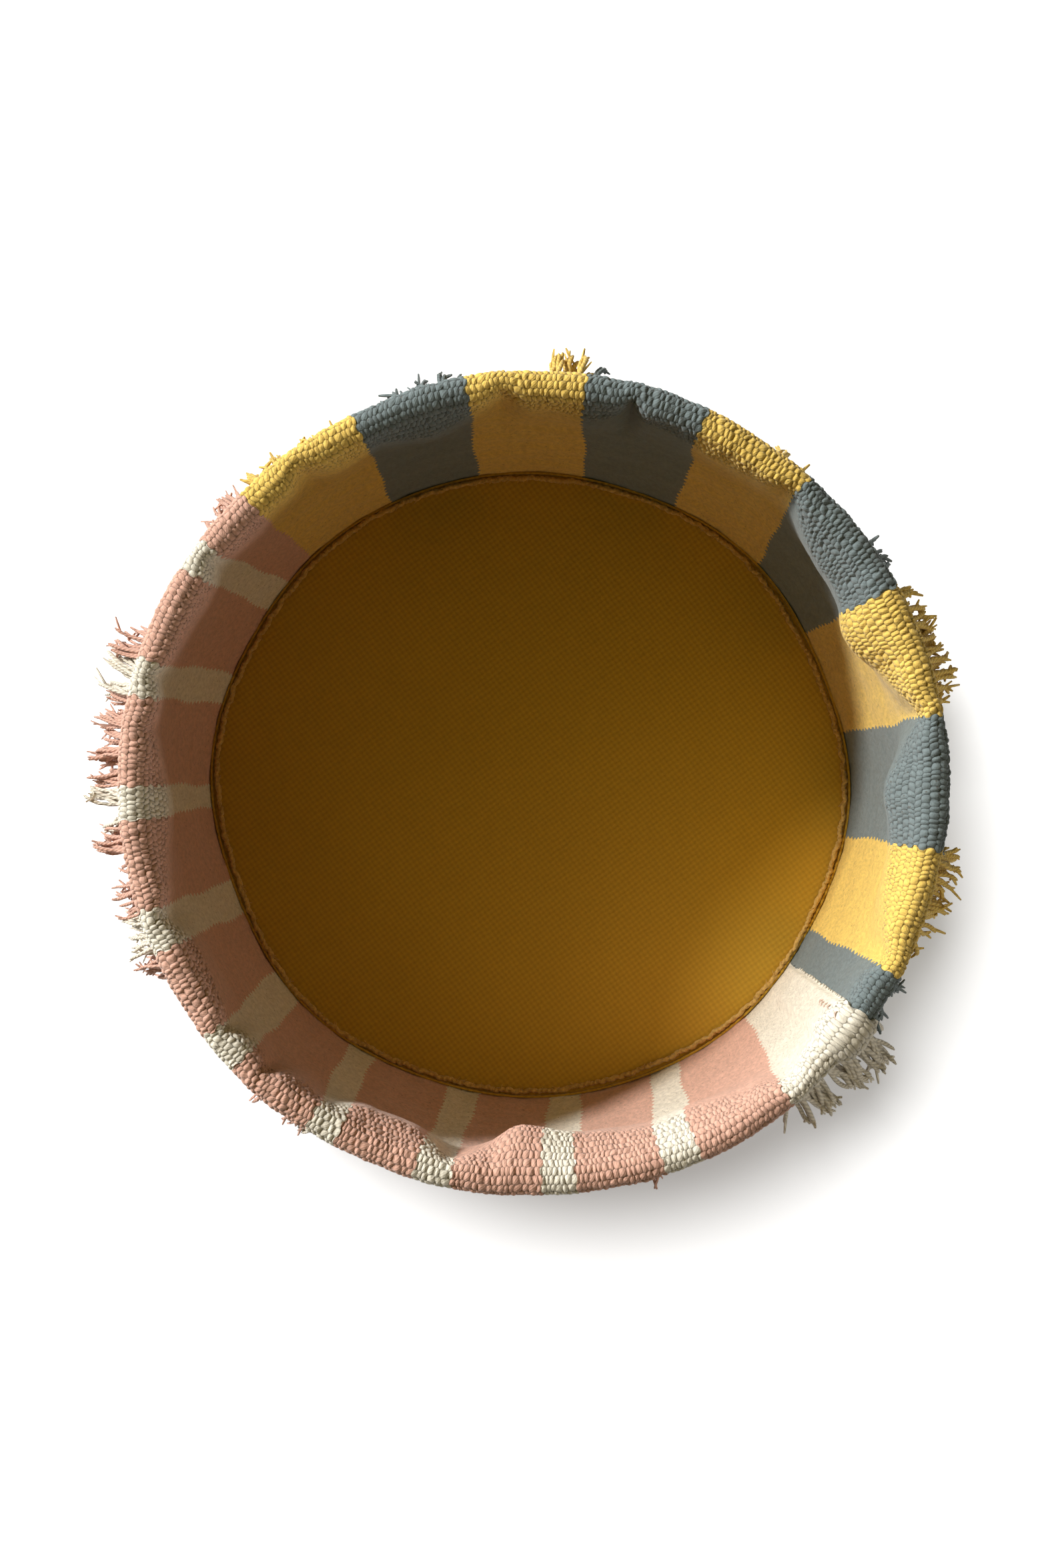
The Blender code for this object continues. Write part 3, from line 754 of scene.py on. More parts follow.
def woven_cotton(name, hex_colour):
    """Thick weft-faced cotton: plump slanting stitches of plied yarn, painted shade in the pits between them,
    and fine dark specks.
    """
    material, tree, shader = new_material(name, roughness=0.92, sheen=0.2)
    mapped = add(tree, "UVMap", uv_map="cloth")
    split = add(tree, "SeparateXYZ", (mapped,))
    across, along = split.outputs[0], split.outputs[1]
    sets = [grain_pattern(tree, across, along, *each) for each in ((0, 0, SLANT), (0.5, 1, -SLANT))]
    plump = add(tree, "Math", sets, operation="MAXIMUM")
    slope = add(tree, "Math", (along, PLY_ALONG), operation="MULTIPLY")
    slope = add(tree, "Math", (across, PLY_ACROSS, slope), operation="MULTIPLY_ADD")
    ply = add(tree, "Math", (slope,), operation="SINE")
    fuzz = add(tree, "TexNoise", {"Vector": mapped, "Scale": COTTON_FUZZ, "Detail": 3.0})
    # The rows show on the rim and the cuff, and are packed flatter on the inside of the wall.
    shown = add(tree, "Attribute", attribute_name="stitches").outputs["Fac"]
    relief = add(tree, "Math", (plump, shown), operation="MULTIPLY")
    for height, share in ((ply, 0.06), (fuzz, 0.45)):
        relief = add(tree, "Math", (height, share, relief), operation="MULTIPLY_ADD")
    # Tufts, with a quarter of the broad patches, give the ground tone.
    tufts = add(tree, "Mapping", {"Vector": mapped, "Scale": TUFTS})
    tufts = add(tree, "TexNoise", {"Vector": tufts, "Scale": 1.0, "Detail": 3.0, "Roughness": 0.75})
    tufts = add(tree, "MapRange", (tufts, 0.4, 0.6))
    tufts = add(tree, "Mix", (tufts, toned(hex_colour, 1.2), toned(hex_colour, 0.72)), data_type="RGBA")
    patch = add(tree, "TexNoise", {"Vector": mapped, "Scale": COTTON_PATCH, "Detail": 4.0})
    patch = add(tree, "Mix", (patch, toned(hex_colour, 0.86), toned(hex_colour, 1.16)), data_type="RGBA")
    colour = add(tree, "Mix", (0.25, tufts, patch), data_type="RGBA")
    # Over it lie worn streaks, pale fuzz and painted shade in the pits between the grains, each by a share of
    # a tone, and a few dark specks.
    streaks = add(tree, "Mapping", {"Vector": mapped, "Scale": YARN_STREAKS})
    worn = add(tree, "TexNoise", {"Vector": streaks, "Scale": 1.0, "Detail": 2.0})
    worn = add(tree, "Math", (worn, 0.4), operation="MULTIPLY")
    pale = add(tree, "Math", (fuzz, 0.4), operation="MULTIPLY")
    # Painted shade: the pits between the grains are darkened, the more where the stitches stand up
    painted_pit_shade = add(tree, "Math", (1, plump), operation="SUBTRACT")
    painted_pit_shade = add(tree, "Math", (painted_pit_shade, 2.6), operation="POWER")
    pit_shade_share = add(tree, "Math", (shown, 0.75), operation="MULTIPLY")
    painted_pit_shade = add(tree, "Math", (painted_pit_shade, pit_shade_share), operation="MULTIPLY")
    for share, gain in ((worn, 0.78), (pale, 1.25), (painted_pit_shade, 0.3)):
        colour = add(tree, "Mix", (share, colour, toned(hex_colour, gain)), data_type="RGBA")
    cells = add(tree, "TexVoronoi", {"Vector": mapped, "Scale": SPECK_CELLS})
    speck = add(tree, "Math", (cells.outputs["Distance"], SPECK_SIZE), operation="LESS_THAN")
    rare = add(tree, "SeparateXYZ", (cells.outputs["Color"],))
    rare = add(tree, "Math", (rare, SPECK_RARE), operation="GREATER_THAN")
    faint = add(tree, "Math", (rare, 0.5), operation="MULTIPLY")
    speck = add(tree, "Math", (speck, faint), operation="MULTIPLY")
    colour = add(tree, "Mix", (speck, colour, toned(COLOURS["speck"], 1)), data_type="RGBA")
    finish_shader(tree, shader, colour, relief, depth=0.0006, strength=0.8)
    return material


def loose_yarn(name, hex_colour):
    """Loose plied cotton: slanting turns of the plies along each strand, fuzzy, with a painted highlight on
    each ply's crown and painted shade beside it.
    """
    material, tree, shader = new_material(name, roughness=0.92, sheen=0.25)
    mapped = add(tree, "UVMap", uv_map="cloth")
    split = add(tree, "SeparateXYZ", (mapped,))
    turns = add(tree, "Math", (split.outputs[1], 2 * math.pi / PLY_PITCH), operation="MULTIPLY")
    # Twice round, because the yarn has two plies.
    turns = add(tree, "Math", (split.outputs[0], 4 * math.pi, turns), operation="MULTIPLY_ADD")
    ply = add(tree, "Math", (turns,), operation="SINE")
    ply = add(tree, "Math", (ply, 0.5, 0.5), operation="MULTIPLY_ADD")
    fuzz = add(tree, "TexNoise", {"Vector": mapped, "Scale": STRAND_FUZZ, "Detail": 2.0})
    relief = add(tree, "Math", (fuzz, 0.4, ply), operation="MULTIPLY_ADD")
    # Painted highlight and shade: lighter on each ply's crown and darker in its groove, on the same wave as
    # the relief
    colour = add(tree, "Mix", (ply, toned(hex_colour, 0.70), toned(hex_colour, 1.12)), data_type="RGBA")
    dull = add(tree, "TexNoise", {"Vector": mapped, "Scale": STRAND_PATCH, "Detail": 2.0})
    dull = add(tree, "Math", (dull, 0.4), operation="MULTIPLY")
    colour = add(tree, "Mix", (dull, colour, toned(hex_colour, 0.80)), data_type="RGBA")
    finish_shader(tree, shader, colour, relief, depth=0.0004, strength=0.7)
    return material


def plain_canvas(name, hex_colour):
    """Plain-woven canvas: threads over and under, drawn on object coordinates."""
    material, tree, shader = new_material(name, roughness=0.9, sheen=0.15)
    spot = add(tree, "TexCoord").outputs["Object"]
    turned = add(tree, "Mapping", {"Vector": spot, "Rotation": (0, 0, math.radians(CANVAS_TURN))})
    wander = add(tree, "TexNoise", {"Vector": spot, "Scale": THREAD_WANDER, "Detail": 2.0})
    split = add(tree, "SeparateXYZ", (turned,))
    drawn = add(tree, "Math", (wander, CANVAS_PITCH, split.outputs[0]), operation="MULTIPLY_ADD")
    drawn = add(tree, "Math", (drawn, math.pi / CANVAS_PITCH), operation="MULTIPLY")
    filling = add(tree, "Math", (split.outputs[1], math.pi / CANVAS_PITCH), operation="MULTIPLY")
    waves = [add(tree, "Math", (way,), operation="SINE") for way in (drawn, filling)]
    knot = add(tree, "Math", waves, operation="MULTIPLY")
    knot = add(tree, "Math", (knot, 0.5, 0.5), operation="MULTIPLY_ADD")
    fuzz = add(tree, "TexNoise", {"Vector": spot, "Scale": CANVAS_FUZZ, "Detail": 3.0})
    relief = add(tree, "Math", (fuzz, 0.8, knot), operation="MULTIPLY_ADD")
    # Painted highlight and shade: lighter where the threads cross over and darker where they dip, on the same
    # wave as the relief
    colour = add(tree, "Mix", (knot, toned(hex_colour, 0.82), toned(hex_colour, 1.12)), data_type="RGBA")
    patch = add(tree, "TexNoise", {"Vector": spot, "Scale": CANVAS_PATCH, "Detail": 5.0})
    for pattern, share, gain in ((patch, 0.4, 0.70), (fuzz, 0.3, 1.25)):
        shown = add(tree, "Math", (pattern, share), operation="MULTIPLY")
        colour = add(tree, "Mix", (shown, colour, toned(hex_colour, gain)), data_type="RGBA")
    finish_shader(tree, shader, colour, relief, depth=0.0003, strength=0.7)
    return material


def rough_fibre(name, hex_colour, size, roughness, sheen, relief, contrast):
    """Matted fibres: a cut canvas edge or pressed board, by the size of its mottling."""
    material, tree, shader = new_material(name, roughness, sheen)
    spot = add(tree, "TexCoord").outputs["Object"]
    fibre = add(tree, "TexNoise", {"Vector": spot, "Scale": 1 / size, "Detail": 5.0})
    ends = toned(hex_colour, 1 - contrast), toned(hex_colour, 1 + contrast)
    colour = add(tree, "Mix", (fibre, *ends), data_type="RGBA")
    finish_shader(tree, shader, colour, fibre, depth=relief, strength=0.8)
    return material


WEFTS = ("yellow", "grey", "pink", "cream")
# Dyed cotton, woven thick by hand: matt and soft, with plump stitches over pits darkened by painted shade
COTTON = {weft: woven_cotton("weft_faced_cotton_" + weft, COLOURS[weft]) for weft in WEFTS}
# The same cotton as cut yarn: each ply has a painted highlight on its crown and painted shade in the groove
# beside it
YARN = {weft: loose_yarn("plied_cotton_yarn_" + weft, COLOURS[weft]) for weft in WEFTS}
# Cotton canvas, plain-woven and dyed mustard: an even grain of threads, with painted highlights where they
# cross over and painted shade where they dip under, and faint worn patches
CANVAS = plain_canvas("plain_woven_canvas", COLOURS["canvas"])
# That canvas where it is cut and frays: paler and fuzzy, with fibres matted in a mottle of 1.6 mm
RAW_EDGE = rough_fibre("frayed_canvas_edge", COLOURS["raw_edge"], size=0.0016, roughness=0.95, sheen=0.3,
                       relief=0.0006, contrast=0.6)
# Board pressed from grey pulp: dull and nearly plain, with a faint mottle of 2.4 mm
BOARD = rough_fibre("pressed_grey_board", COLOURS["board"], size=0.0024, roughness=0.85, sheen=0,
                    relief=0.0002, contrast=0.2)
# Cotton sewing thread, paler than the pink bands, in short raised stitches beside the lap's edge
THREAD = loose_yarn("sewing_thread_pale_pink", COLOURS["thread"])


# The wall


def dress_wall():
    """All bands of the strip, each with its fringe."""
    for number, (colour, _, _) in enumerate(BANDS):
        name = band_name(number)
        band = band_edges(number)
        width = band["width"]
        layer = plain_layer
        if number == len(BANDS) - 1:
            lap = width - degrees_round(LAP_WIDTH)
            step = lap - degrees_round(JOGGLE_WIDTH)
            band["lap"] = width - step
            layer = lapping_layer(step, lap, width)
        cloth = weave_band(name + "_cloth", band, (0.0, width), (0, ROWS), layer, COTTON[colour])
        parts = [hang_fringe(name, band, colour, layer)]
        if number == 0:
            tab = (-degrees_round(LAP_WIDTH - LAP_END_CLEARANCE), 0.0)
            start = math.ceil(np.interp(LAP_START, RUN_MARKS, RIGHT_SIDE_MARKS) / ROW_PITCH)
            parts.append(weave_band(name + "_tab", band, tab, (start, ROWS), plain_layer, COTTON[colour]))
        for piece in [cloth, *parts]:
            finish_piece(piece, name)


def finish_piece(piece, node):
    """Hangs a piece on the basket and hides the part that it stands for."""
    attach(piece, "root")
    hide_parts(node)


# How each yarn frays: radius of a strand, strands to a stitch, strands in a bundle, how far a bundle
# leans and a strand curls at its end, how much a bundle gathers, and prongs that each end splits into
YARN_ENDS = {
    "pink": (0.00095, 4.6, 9, 0.0035, 0.0015, 0.15, 1),
    "cream": (0.00095, 4.6, 9, 0.0035, 0.0018, 0.10, 1),
    "yellow": (0.00125, 3.8, 6, 0.0030, 0.0016, 0.12, 2),
    "grey": (0.00115, 2.8, 4, 0.0035, 0.0016, 0.20, 2),
    "end_block": (0.00125, 3.0, 3, 0.0050, 0.0014, 0.10, 1),
}
STRAND_SIDES = 5
STRAND_STEPS = 8
FIBRE_SIDES = 4
FIBRE_STEPS = 3
STRAND_ROOT = 0.002

# How uneven the loose ends are, as least and most: a bundle's length and reach; a strand's length, reach,
# thickness, turns of curl, and place, in strands; the shares of its length that any reach keeps to; and
# how much of its bundle's lean a strand has for itself
BUNDLE_LENGTHS = (0.78, 0.98)
BUNDLE_REACHES = (0.88, 1.05)
STRAND_LENGTHS = (0.82, 1.02)
STRAND_REACHES = (0.70, 1.03)
STRAND_THICKNESSES = (0.85, 1.15)
STRAND_TURNS = (0.6, 1.4)
STRAND_PLACES = (-0.3, 0.3)
REACH_LIMITS = (0.05, 0.9)
STRAND_LEAN = 0.25

# How a strand runs: its points crowd to the tip, it sways more towards the tip, it always hangs a little,
# it rounds off in its last tenth, and it starts elsewhere on its map than the strand beside it
TIP_CROWD = 1.6
SWAY_CURL = 1.3
MOST_OUT = 0.98
TIP_START = 0.9
TIP_ROUND = 0.95
MAP_SHIFT = 0.37

# The prongs of a split end: length and its least and most, how far they fan out and droop, and their
# thickness beside the strand's, its least and most, and how much they thin to the tip
PRONG_LENGTH = 0.0055
PRONG_LENGTHS = (0.5, 1.0)
PRONG_FAN = 0.5
PRONG_DROOP = 0.3
PRONG_THICKNESS = 0.72
PRONG_THICKNESSES = (0.8, 1.2)
PRONG_TAPER = 0.35


def strand_template(sides, steps):
    """A straight strand of unit radius and length."""
    mesh = bmesh.new()
    bmesh.ops.create_cone(mesh, cap_ends=True, segments=sides, radius1=1, radius2=1, depth=1)
    bmesh.ops.translate(mesh, verts=mesh.verts, vec=(0, 0, 0.5))
    long_edges = [edge for edge in mesh.edges if abs(edge.verts[0].co.z - edge.verts[1].co.z) > 0.5]
    bmesh.ops.subdivide_edges(mesh, edges=long_edges, cuts=steps - 1)
    data = bpy.data.meshes.new("strand")
    mesh.to_mesh(data)
    mesh.free()
    return data


def strand_map(data):
    """Turn and length at each corner of the template, without a jump round the strand."""
    points = coordinates(data)
    corners = corner_points(data)
    across = (np.arctan2(points[:, 1], points[:, 0]) / (2 * math.pi) % 1)[corners]
    for face in data.polygons:
        span = slice(face.loop_start, face.loop_start + face.loop_total)
        if np.ptp(across[span]) > 0.5:
            across[span] += across[span] < 0.5
    return across, points[corners, 2]


def strands_from(name, template, lines, radii, lengths, material):
    """Many strands as one piece: lines is strands x stations x 3, and radii is strands x stations."""
    mesh = bmesh.new()
    for _ in range(len(lines)):
        mesh.from_mesh(template)
    piece = object_from(mesh, name, material, sharp=80)
    shape = coordinates(template)
    index = np.round(shape[:, 2] * (lines.shape[1] - 1)).astype(int)
    ahead = np.gradient(lines, axis=1)
    ahead /= np.linalg.norm(ahead, axis=-1, keepdims=True)
    # Sideways is square to the way out from the basket's middle, so a strand's rings don't twist.
    side = np.cross(lines * (1, 1, 0.01), ahead)
    side /= np.linalg.norm(side, axis=-1, keepdims=True)
    front = np.cross(ahead, side)
    ring = shape[:, 0, None] * side[:, index] + shape[:, 1, None] * front[:, index]
    place_points(piece.data, (lines[:, index] + radii[:, index, None] * ring).reshape(-1, 3))
    across, along = strand_map(template)
    numbers = np.repeat(np.arange(len(lines)), len(across))
    across = np.tile(across, len(lines)) + MAP_SHIFT * numbers
    give_map(piece.data, across, (lengths[:, None] * along).ravel())
    return piece


def join(first, other):
    """Makes one piece of two."""
    mesh = bmesh.new()
    for piece in (first, other):
        mesh.from_mesh(piece.data)
    mesh.to_mesh(first.data)
    mesh.free()
    bpy.data.objects.remove(other)
    return first


STRAND = strand_template(STRAND_SIDES, STRAND_STEPS)
FIBRE = strand_template(FIBRE_SIDES, FIBRE_STEPS)


def hang_fringe(name, band, colour, layer):
    """The band's weft ends, hanging from under the cuff's edge in loose bundles."""
    draw = np.random.default_rng(100 + band["number"])
    kind = "end_block" if band["lap"] else colour
    thick, per_stitch, bundle, lean, curl, gather, prongs = YARN_ENDS[kind]
    count = max(3, round(math.radians(band["width"]) * RIM_OUTER_RADIUS / STITCH * per_stitch))
    place = (np.arange(count) + 0.5 + draw.uniform(*STRAND_PLACES, count)) / count * band["width"]
    run = np.full(count, CUFF_END - STRAND_ROOT)
    root = band_angle(place, run, band)
    lift, _ = layer(place, run)
    group = (np.arange(count) / bundle).astype(int)
    groups = group[-1] + 1
    centre = np.array([root[group == each].mean() for each in range(groups)])[group]
    length = TUFT_LENGTH * draw.uniform(*BUNDLE_LENGTHS, groups)[group] * draw.uniform(*STRAND_LENGTHS, count)
    reach = FRINGE_REACH * fringe_share(root) * draw.uniform(*BUNDLE_REACHES, groups)[group]
    reach = reach * draw.uniform(*STRAND_REACHES, count)
    reach = np.clip(reach, REACH_LIMITS[0] * length, REACH_LIMITS[1] * length)
    stations = (1 - (1 - np.linspace(0, 1, STRAND_STEPS + 1)) ** TIP_CROWD)[None, :]
    sway = draw.normal(0, lean, groups)[group] + draw.normal(0, STRAND_LEAN * lean, count)
    phase = draw.uniform(0, 2 * math.pi, (count, 1))
    bend = phase + draw.uniform(*STRAND_TURNS, (count, 1)) * 2 * math.pi * stations
    hang = (STRAND_ROOT + length)[:, None] * stations
    out = reach[:, None] * stations ** FRINGE_CURL + curl * stations * np.sin(bend)
    down = np.sqrt(np.maximum(hang ** 2 - np.minimum(out, MOST_OUT * hang) ** 2, 0))
    along = sway[:, None] * stations ** SWAY_CURL + curl * stations * np.cos(bend)
    angle = root[:, None] + gather * stations * (centre - root)[:, None]
    angle = angle + np.degrees(along / RIM_OUTER_RADIUS)
    start = cloth_point(root, run, lift)
    radius = np.hypot(start[:, 0], start[:, 1])[:, None] + out
    lines = polar(angle, radius, start[:, 2, None] - down)
    tip = np.clip((stations - TIP_START) / (1 - TIP_START), 0, TIP_ROUND)
    radii = thick * draw.uniform(*STRAND_THICKNESSES, (count, 1)) * np.sqrt(1 - tip ** 2)
    fringe = strands_from(name + "_fringe", STRAND, lines, radii, STRAND_ROOT + length, YARN[colour])
    if prongs:
        fringe = join(fringe, split_ends(lines, thick, prongs, draw, YARN[colour]))
    return fringe


def split_ends(lines, thick, prongs, draw, material):
    """Prongs that the strands split into, from their last station but two."""
    tips = np.repeat(lines[:, -3], prongs, axis=0)
    heading = np.repeat(lines[:, -1] - lines[:, -3], prongs, axis=0)
    heading /= np.linalg.norm(heading, axis=-1, keepdims=True)
    heading = heading + draw.normal(0, PRONG_FAN, heading.shape)
    length = PRONG_LENGTH * draw.uniform(*PRONG_LENGTHS, len(tips))
    steps = np.linspace(0, 1, FIBRE_STEPS + 1)[None, :, None]
    droop = np.array([0, 0, -1]) * PRONG_DROOP * steps ** 2
    lines = tips[:, None] + length[:, None, None] * (heading[:, None] * steps + droop)
    radii = PRONG_THICKNESS * thick * (1 - PRONG_TAPER * steps[..., 0] ** 3)
    radii = radii * draw.uniform(*PRONG_THICKNESSES, (len(tips), 1))
    return strands_from("prongs", FIBRE, lines, radii, length, material)


dress_wall()


# The hand stitches that hold the lap: length and radius of a stitch, its way in from the edge, its slant
# and the bow that sinks its ends, how unevenly it is set; the pitch, the number, and the way from the
# cuff's fold to the first one, in pitches
LAP_STITCH = 0.0036
LAP_THREAD = 0.00050
LAP_STITCH_IN = 0.008
LAP_STITCH_SLANT = 0.25
LAP_STITCH_BOW = 6
LAP_STITCH_UNEVEN = 0.001
LAP_STITCH_PITCH = 0.011
LAP_STITCHES = 5
LAP_STITCH_START = 0.8


def sew_lap():
    """A ladder of stitches down the lapped edge of the end block."""
    draw = np.random.default_rng(9)
    band = band_edges(len(BANDS) - 1)
    runs = FOLD_END - LAP_STITCH_PITCH * (LAP_STITCH_START + np.arange(LAP_STITCHES))
    stations = np.linspace(-0.5, 0.5, FIBRE_STEPS + 1)[None, :]
    aside, ahead = draw.uniform(-LAP_STITCH_UNEVEN, LAP_STITCH_UNEVEN, (2, LAP_STITCHES, 1))
    place = band["width"] - degrees_round(LAP_STITCH_IN + aside + LAP_STITCH * stations)
    run = runs[:, None] + ahead + LAP_STITCH_SLANT * LAP_STITCH * stations
    height = HALF_CLOTH + STITCH_RELIEF * (1 - LAP_STITCH_BOW * stations ** 2)
    lines = faced_point(cloth_point, band_angle(place, run, band), run, LAP_LIFT, height)
    radii = np.full(lines.shape[:2], LAP_THREAD)
    sewn = strands_from("lap_stitches", FIBRE, lines, radii, np.full(len(runs), LAP_STITCH), THREAD)
    finish_piece(sewn, "wall_cream_end_block")


sew_lap()


# The base


# The floor canvas's ripples: their height, the share by which they are lifted clear of the board, and
# folds: share, radians to the metre across and along, phase
FLOOR_RIPPLE = 0.0011
RIPPLE_LIFT = 0.9
FLOOR_FOLDS = ((1.0, 38, 21, 0.4), (0.6, 17, -44, 2), (0.4, 70, 70, 0))

# The welt's cut edge: how round it swells, and how thin it stays at foot and top; its broad and its fine
# folds: share, count to the turn, and count of the slower waves that vary them; how much the fine ones
# crowd, how they all slant, and what they change of its height and its thickness
WELT_ROUND = 1.5
WELT_THIN = 0.25
BROAD_FOLDS = (0.35, 57, 23)
FINE_FOLDS = (0.65, 281, 41)
FINE_CROWD = 3
FOLD_SLANT = 1.2
FOLD_HEIGHT = 0.3
FOLD_THICKNESS = 0.45

# Its loose threads: number, length, radius, the least and most of their length and of how far they lean
# inwards, how they bow up, and how high on the welt they start
FRAY_THREADS = 700
FRAY_LENGTH = 0.0035
FRAY_RADIUS = 0.00022
FRAY_LENGTHS = (0.3, 1.0)
FRAY_LEANS = (-0.4, 1.0)
FRAY_BOW = 0.35
FRAY_START = 0.8

# Samples: the canvas discs' rings and spokes, steps in the border's corner and up the welt, and columns
# round the border and the welt
DISC_RINGS = 40
DISC_SPOKES = 180
CORNER_STEPS = 6
WELT_STEPS = 6
BORDER_COLUMNS = 360
WELT_COLUMNS = 1800

# Points closer than this are one point
WELD_DISTANCE = 1e-6


def floor_ripple(x, y):
    """Soft folds of the floor canvas, which flatten towards its seam."""
    middle = np.clip(1 - (np.hypot(x, y) / WELT_RADIUS) ** 4, 0, 1)
    folds = sum(share * np.sin(across * x + along * y + phase) for share, across, along, phase in FLOOR_FOLDS)
    return FLOOR_RIPPLE * middle * (folds / 2 + RIPPLE_LIFT)


def canvas_disc(name, radius_at, bottom, ripple):
    """A round of canvas, turned from its section and then fitted to its wavy edge."""
    mesh = bmesh.new()
    top = [mesh.verts.new((ring / DISC_RINGS, 0, 1)) for ring in range(DISC_RINGS + 1)]
    low = [mesh.verts.new((ring / DISC_RINGS, 0, 0)) for ring in range(DISC_RINGS, -1, -1)]
    line = top + low
    edges = [mesh.edges.new(pair) for pair in zip(line, line[1:])]
    bmesh.ops.spin(mesh, geom=line + edges, cent=(0, 0, 0), axis=(0, 0, 1), dvec=(0, 0, 0),
                   angle=2 * math.pi, steps=DISC_SPOKES, use_merge=True, use_duplicate=False)
    # Only the middle's points merge: those of the innermost ring lie 25 times as far apart.
    bmesh.ops.remove_doubles(mesh, verts=mesh.verts, dist=0.25 / DISC_RINGS / DISC_SPOKES)
    bmesh.ops.recalc_face_normals(mesh, faces=mesh.faces)
    piece = object_from(mesh, name, CANVAS)
    points = coordinates(piece.data)
    angle = np.degrees(np.arctan2(points[:, 1], points[:, 0]))
    points[:, :2] *= radius_at(angle)[:, None]
    points[:, 2] = bottom + CANVAS_THICKNESS * points[:, 2]
    if ripple:
        points[:, 2] += floor_ripple(points[:, 0], points[:, 1])
    place_points(piece.data, points)
    return piece


def canvas_ring(name, point, runs, thickness, material, columns, roughen=None):
    """A closed ring of cloth that follows a surface."""
    mesh = flat_solid(columns, len(runs) - 1)
    seam = [face for face in mesh.faces if len({vert.co.x for vert in face.verts}) == 1]
    bmesh.ops.delete(mesh, geom=seam, context="FACES")
    piece = object_from(mesh, name, material)
    grid = coordinates(piece.data)
    angle = 360 * np.round(grid[:, 0]) / columns
    run = np.asarray(runs)[np.round(grid[:, 1]).astype(int)]
    side = grid[:, 2]
    half = np.full(len(grid), thickness / 2)
    if roughen:
        run, half = roughen(angle, run, half)
    place_points(piece.data, faced_point(point, angle, run, 0 * run, side * half))
    weld(piece.data)
    return piece


def weld(data):
    """Joins the first and last column of a ring."""
    mesh = bmesh.new()
    mesh.from_mesh(data)
    bmesh.ops.remove_doubles(mesh, verts=mesh.verts, dist=WELD_DISTANCE)
    mesh.to_mesh(data)
    mesh.free()


def floor_edge(angle):
    """Edge of the floor canvas at its seam."""
    return welt_radius(angle) - SEAT_GAP / 2


def under_edge(angle):
    """Edge of the canvas under the basket."""
    return WALL_RADIUS - CORNER_RADIUS / 2 + drift(angle, HEM_Z)


def frayed(angle, run, half):
    """A cut edge, rolled over to a soft round, whose height and thickness wander in slanting folds."""
    turn = np.radians(angle)
    slant = turn + FOLD_SLANT * run / WELT_RADIUS
    share, count, change = BROAD_FOLDS
    folds = share * np.sin(count * slant) * np.sin(change * turn + 1)
    share, count, change = FINE_FOLDS
    folds = folds + share * np.sin(count * slant + FINE_CROWD * np.sin(change * turn))
    up = run / WELT_HEIGHT
    swollen = WELT_THIN + (1 - WELT_THIN) * np.sqrt(np.clip(1 - (2 * up - 1) ** 2, 0, 1))
    thick = WELT_ROUND * half * swollen * (1 + FOLD_THICKNESS * folds)
    return run * (1 + FOLD_HEIGHT * folds * up), thick


def fray_welt():
    """Loose threads along the welt's cut edge."""
    draw = np.random.default_rng(21)
    angle = np.sort(draw.uniform(0, 360, FRAY_THREADS))
    length = draw.uniform(*FRAY_LENGTHS, FRAY_THREADS) * FRAY_LENGTH
    steps = np.linspace(0, 1, FIBRE_STEPS + 1)[None, :]
    along = draw.normal(0, 1, FRAY_THREADS)[:, None] * steps
    inward = draw.uniform(*FRAY_LEANS, FRAY_THREADS)[:, None] * steps
    climb = FRAY_BOW * steps * (1 - steps)
    swing = angle[:, None] + np.degrees(length[:, None] * along / WELT_RADIUS)
    height = FLOOR_Z + CANVAS_THICKNESS + SEAT_GAP + FRAY_START * WELT_HEIGHT + length[:, None] * climb
    lines = polar(swing, welt_radius(angle)[:, None] - length[:, None] * inward, height)
    radii = np.full(lines.shape[:2], FRAY_RADIUS)
    return strands_from("welt_threads", FIBRE, lines, radii, length, RAW_EDGE)


def dress_base():
    """Floor with its border and welt, and the underside."""
    floor = canvas_disc("floor_canvas", floor_edge, FLOOR_Z, True)
    finish_piece(floor, "base_canvas_floor")
    corner = BORDER_FLAT + BORDER_CORNER
    runs = [0, BORDER_FLAT / 2, BORDER_FLAT]
    runs += [BORDER_FLAT + BORDER_CORNER * step / CORNER_STEPS for step in range(1, CORNER_STEPS + 1)]
    runs += [corner + BORDER_UPSTAND / 2, corner + BORDER_UPSTAND]
    border = canvas_ring("border_canvas", border_point, runs, CANVAS_THICKNESS, CANVAS, BORDER_COLUMNS)
    finish_piece(border, "base_canvas_border")
    heights = [WELT_HEIGHT * step / WELT_STEPS for step in range(WELT_STEPS + 1)]
    welt = canvas_ring("welt_raw_edge", welt_point, heights, WELT_THICKNESS, RAW_EDGE, WELT_COLUMNS, frayed)
    welt = join(welt, fray_welt())
    finish_piece(welt, "base_welt")
    under = canvas_disc("under_canvas", under_edge, 0.0, False)
    finish_piece(under, "base_canvas_under")
    board = bpy.data.objects["base_stiffener"].data.materials
    board.clear()
    board.append(BOARD)


dress_base()


# The stage


def camera():
    """Looks straight down at the basket from the photograph's place."""
    data = bpy.data.cameras.new("camera")
    data.sensor_width = SENSOR
    data.lens = SENSOR * CAMERA_ABOVE_RIM * RIM_PIXELS_PER_METRE / PHOTO_SIZE[1]
    eye = bpy.data.objects.new("camera", data)
    across = (PHOTO_SIZE[0] / 2 - BASKET_PIXEL[0]) / RIM_PIXELS_PER_METRE
    up = (BASKET_PIXEL[1] - PHOTO_SIZE[1] / 2) / RIM_PIXELS_PER_METRE
    eye.location = (across, up, BASKET_HEIGHT + CAMERA_ABOVE_RIM)
    bpy.context.scene.collection.objects.link(eye)
    bpy.context.scene.camera = eye


